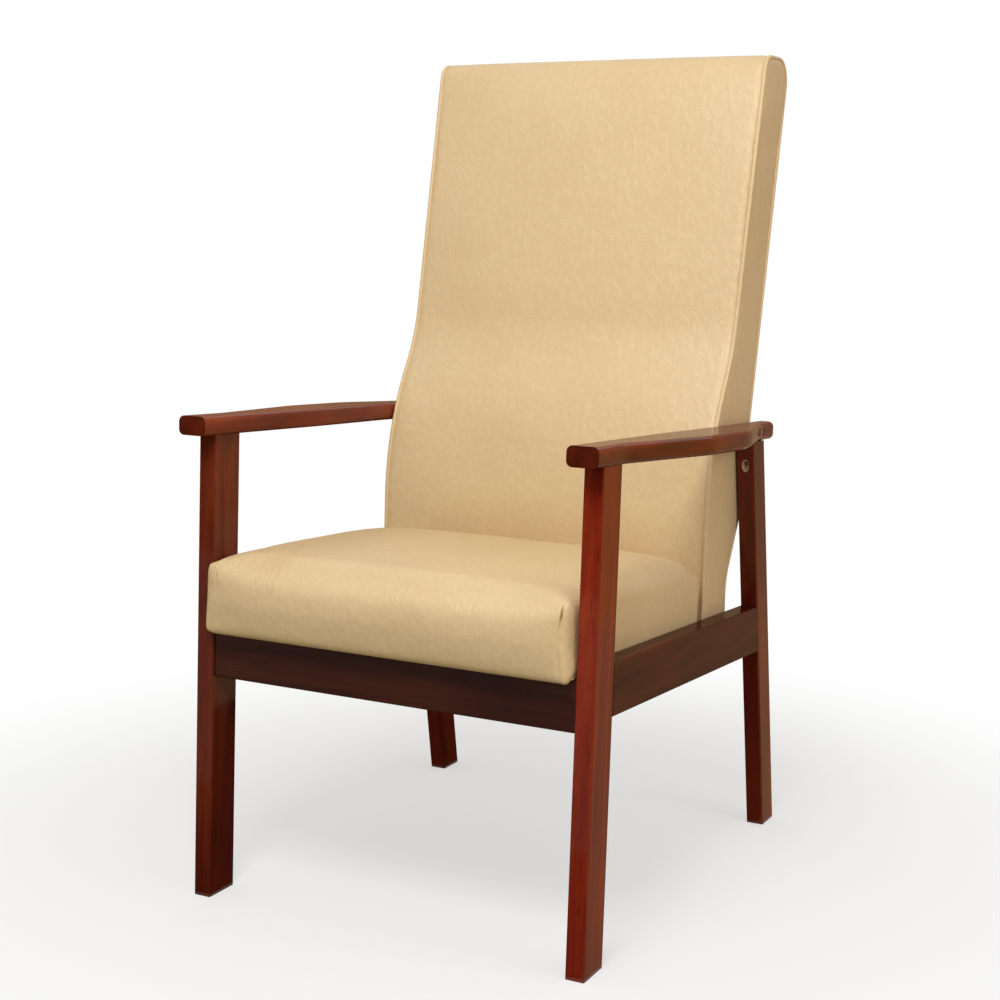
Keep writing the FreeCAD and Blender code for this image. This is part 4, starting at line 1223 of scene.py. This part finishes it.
def makeScrews(nodeName, style, finish):
    measured = [measureScrew(points) for points in islandsOf(nodeName)]
    pattern = screwPattern(style, *measured[0][2:])
    shape = bmesh.new()
    for top, way, *_ in measured:
        before = len(shape.verts)
        shape.from_mesh(pattern.data)
        shape.verts.ensure_lookup_table()
        turn = Vector((0, 0, 1)).rotation_difference(way).to_matrix().to_4x4()
        bmesh.ops.transform(shape, matrix=Matrix.Translation(top) @ turn, verts=shape.verts[before:])
    bpy.data.objects.remove(pattern)
    screws = newPiece(nodeName + "_driven", shape, finish)
    shadeSmooth(screws.data, False)
    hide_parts(nodeName)


for nodeName, (style, finish) in screwGroups.items():
    makeScrews(nodeName, style, finish)
print("screw heads cut:", len(screwGroups), "groups")


# Floor, light and camera

studio = {
    "floorSize": 14.0,
    "floorColour": (0.90, 0.90, 0.89),
    "floorBounce": (0.42, 0.38, 0.28),  # what the floor gives back to the chair
    "floorGlow": 0.55,  # share of plain white in the floor under the chair
    "floorRoughness": 0.9,
    "fadeStart": 0.5,  # the floor turns to plain white beyond the chair
    "fadeEnd": 1.3,
    "skyLevel": 0.50,
    "skyColour": (1.0, 0.97, 0.91),  # what lights the chair, behind it the sky is white
}

lamps = {
    "key": {"place": (0.35, -1.45, 2.10), "aim": (0.0, 0.0, 0.75), "size": 0.9, "power": 26.5},
    "fill": {"place": (2.20, -0.30, 1.30), "aim": (0.0, 0.0, 0.60), "size": 1.2, "power": 8.5},
}

# Cards round the chair that only mirror rays see: centre, width and height, facing axis, colour
cards = {
    "front": ((-0.20, -0.85, 0.96), (2.8, 1.1), "Y", (0.030, 0.014, 0.010)),
    "frontLow": ((-0.20, -0.85, 0.21), (2.8, 0.4), "Y", (0.20, 0.27, 0.24)),
    "left": ((1.05, 0.90, 0.76), (3.6, 1.5), "X", (0.85, 0.42, 0.14)),
    "right": ((-1.30, 0.30, 0.76), (3.2, 1.5), "X", (0.40, 0.25, 0.14)),
    "rear": ((-0.10, 1.90, 0.76), (2.6, 1.5), "Y", (0.52, 0.36, 0.21)),
    # under: a dark sheet standing in for the shade on the floor beneath the chair, painted shade that
    # only reflections show
    "under": ((-0.645, 0.30, 0.004), (1.87, 2.6), "Z", (0.045, 0.026, 0.016)),
    "beside": ((0.675, 0.60, 0.004), (0.77, 3.0), "Z", (0.62, 0.40, 0.22)),
}

view = {
    "place": (1.1487, -2.2303, 0.934),
    "azimuth": 27.5632,  # degrees to the chair's left
    "elevation": 9.1730,
    "roll": 0.6607,
    "lens": 63.42,
    "sensor": 36.0,
}


def seenDirectly(maker):  # 1 for camera, mirror and glass rays
    path = maker.tree.nodes.new("ShaderNodeLightPath")
    rays = [Wire(maker.tree, path.outputs[name])
            for name in ("Is Camera Ray", "Is Glossy Ray", "Is Transmission Ray")]
    return maker.node("Clamp", {}, {"Value": rays[0] + rays[1] + rays[2]})


def flatPlate(name, size, turns, centre):  # a rectangle in XY, given quarter turns, then moved
    shape = bmesh.new()
    bmesh.ops.create_grid(shape, x_segments=1, y_segments=1, size=0.5)
    bmesh.ops.scale(shape, vec=(*size, 1), verts=shape.verts)
    for axis in turns:
        bmesh.ops.rotate(shape, matrix=Matrix.Rotation(math.pi / 2, 3, axis), verts=shape.verts)
    bmesh.ops.translate(shape, vec=centre, verts=shape.verts)
    return linked(name, shape)


def makeFloor():
    floor = flatPlate("floor", (studio["floorSize"], studio["floorSize"]), "", (0, 0, 0))
    finish = Finish("pale_floor")
    direct = seenDirectly(finish)
    colour = finish.mix(direct, studio["floorBounce"], studio["floorColour"])
    finish.set({"Base Color": colour, "Roughness": studio["floorRoughness"], "Specular IOR Level": 0.0})
    far = finish.fade(finish.length(finish.place()), studio["fadeStart"], studio["fadeEnd"])
    white = finish.node("Emission", {}, {"Color": (1, 1, 1, 1), "Strength": 1.0})
    share = direct * (studio["floorGlow"] + (1 - studio["floorGlow"]) * far)
    lit = Wire(finish.tree, finish.shader.outputs[0])
    both = finish.node("MixShader", {}, {0: share, 1: lit, 2: white})
    feed(finish.tree, finish.tree.nodes["Material Output"].inputs["Surface"], both)
    floor.data.materials.append(finish.material)


def makeCard(name, centre, size, facing, colour):
    turns = {"Z": "", "Y": "X", "X": "XZ"}[facing]
    card = flatPlate("card_" + name, size, turns, centre)
    finish = Finish("card_" + name)
    finish.set({"Base Color": (0, 0, 0, 1), "Specular IOR Level": 0.0,
                "Emission Color": (*colour, 1.0), "Emission Strength": 1.0})
    card.data.materials.append(finish.material)
    card.visible_camera = False
    card.visible_diffuse = False
    card.visible_transmission = False
    card.visible_shadow = False


def makeSky():
    world = bpy.data.worlds.new("studio")
    world.use_nodes = True
    scene.world = world
    sky = NodeMaker(world.node_tree)
    backdrop = sky.tree.nodes["Background"]
    direct = seenDirectly(sky)
    level = studio["skyLevel"] + (1 - studio["skyLevel"]) * direct
    feed(sky.tree, backdrop.inputs["Color"], sky.mix(direct, studio["skyColour"], (1, 1, 1)))
    feed(sky.tree, backdrop.inputs["Strength"], level)


def makeLamp(name, place, aim, size, power):
    lamp = bpy.data.lights.new(name + "Light", "AREA")
    lamp.shape = "DISK"
    lamp.size = size
    lamp.energy = power
    light = bpy.data.objects.new(name + "Light", lamp)
    scene.collection.objects.link(light)
    light.location = place
    light.rotation_euler = (Vector(aim) - light.location).to_track_quat("-Z", "Y").to_euler()
    light.visible_camera = False
    light.visible_glossy = name == "key"


def makeCamera():
    az, el, roll = (math.radians(view[key]) for key in ("azimuth", "elevation", "roll"))
    ahead = Vector((-math.sin(az) * math.cos(el), math.cos(az) * math.cos(el), -math.sin(el)))
    level = Vector((math.cos(az), math.sin(az), 0))
    upright = level.cross(ahead)
    right = math.cos(roll) * level + math.sin(roll) * upright
    up = -math.sin(roll) * level + math.cos(roll) * upright
    lens = bpy.data.cameras.new("photoView")
    lens.lens = view["lens"]
    lens.sensor_width = view["sensor"]
    camera = bpy.data.objects.new("photoView", lens)
    scene.collection.objects.link(camera)
    turn = Matrix((right, up, -ahead)).transposed().to_4x4()
    camera.matrix_world = Matrix.Translation(view["place"]) @ turn
    scene.camera = camera


makeFloor()
for cardName, card in cards.items():
    makeCard(cardName, *card)
makeSky()
for lampName, lamp in lamps.items():
    makeLamp(lampName, **lamp)
makeCamera()
scene.view_settings.view_transform = "Standard"
print("floor, light and camera set")
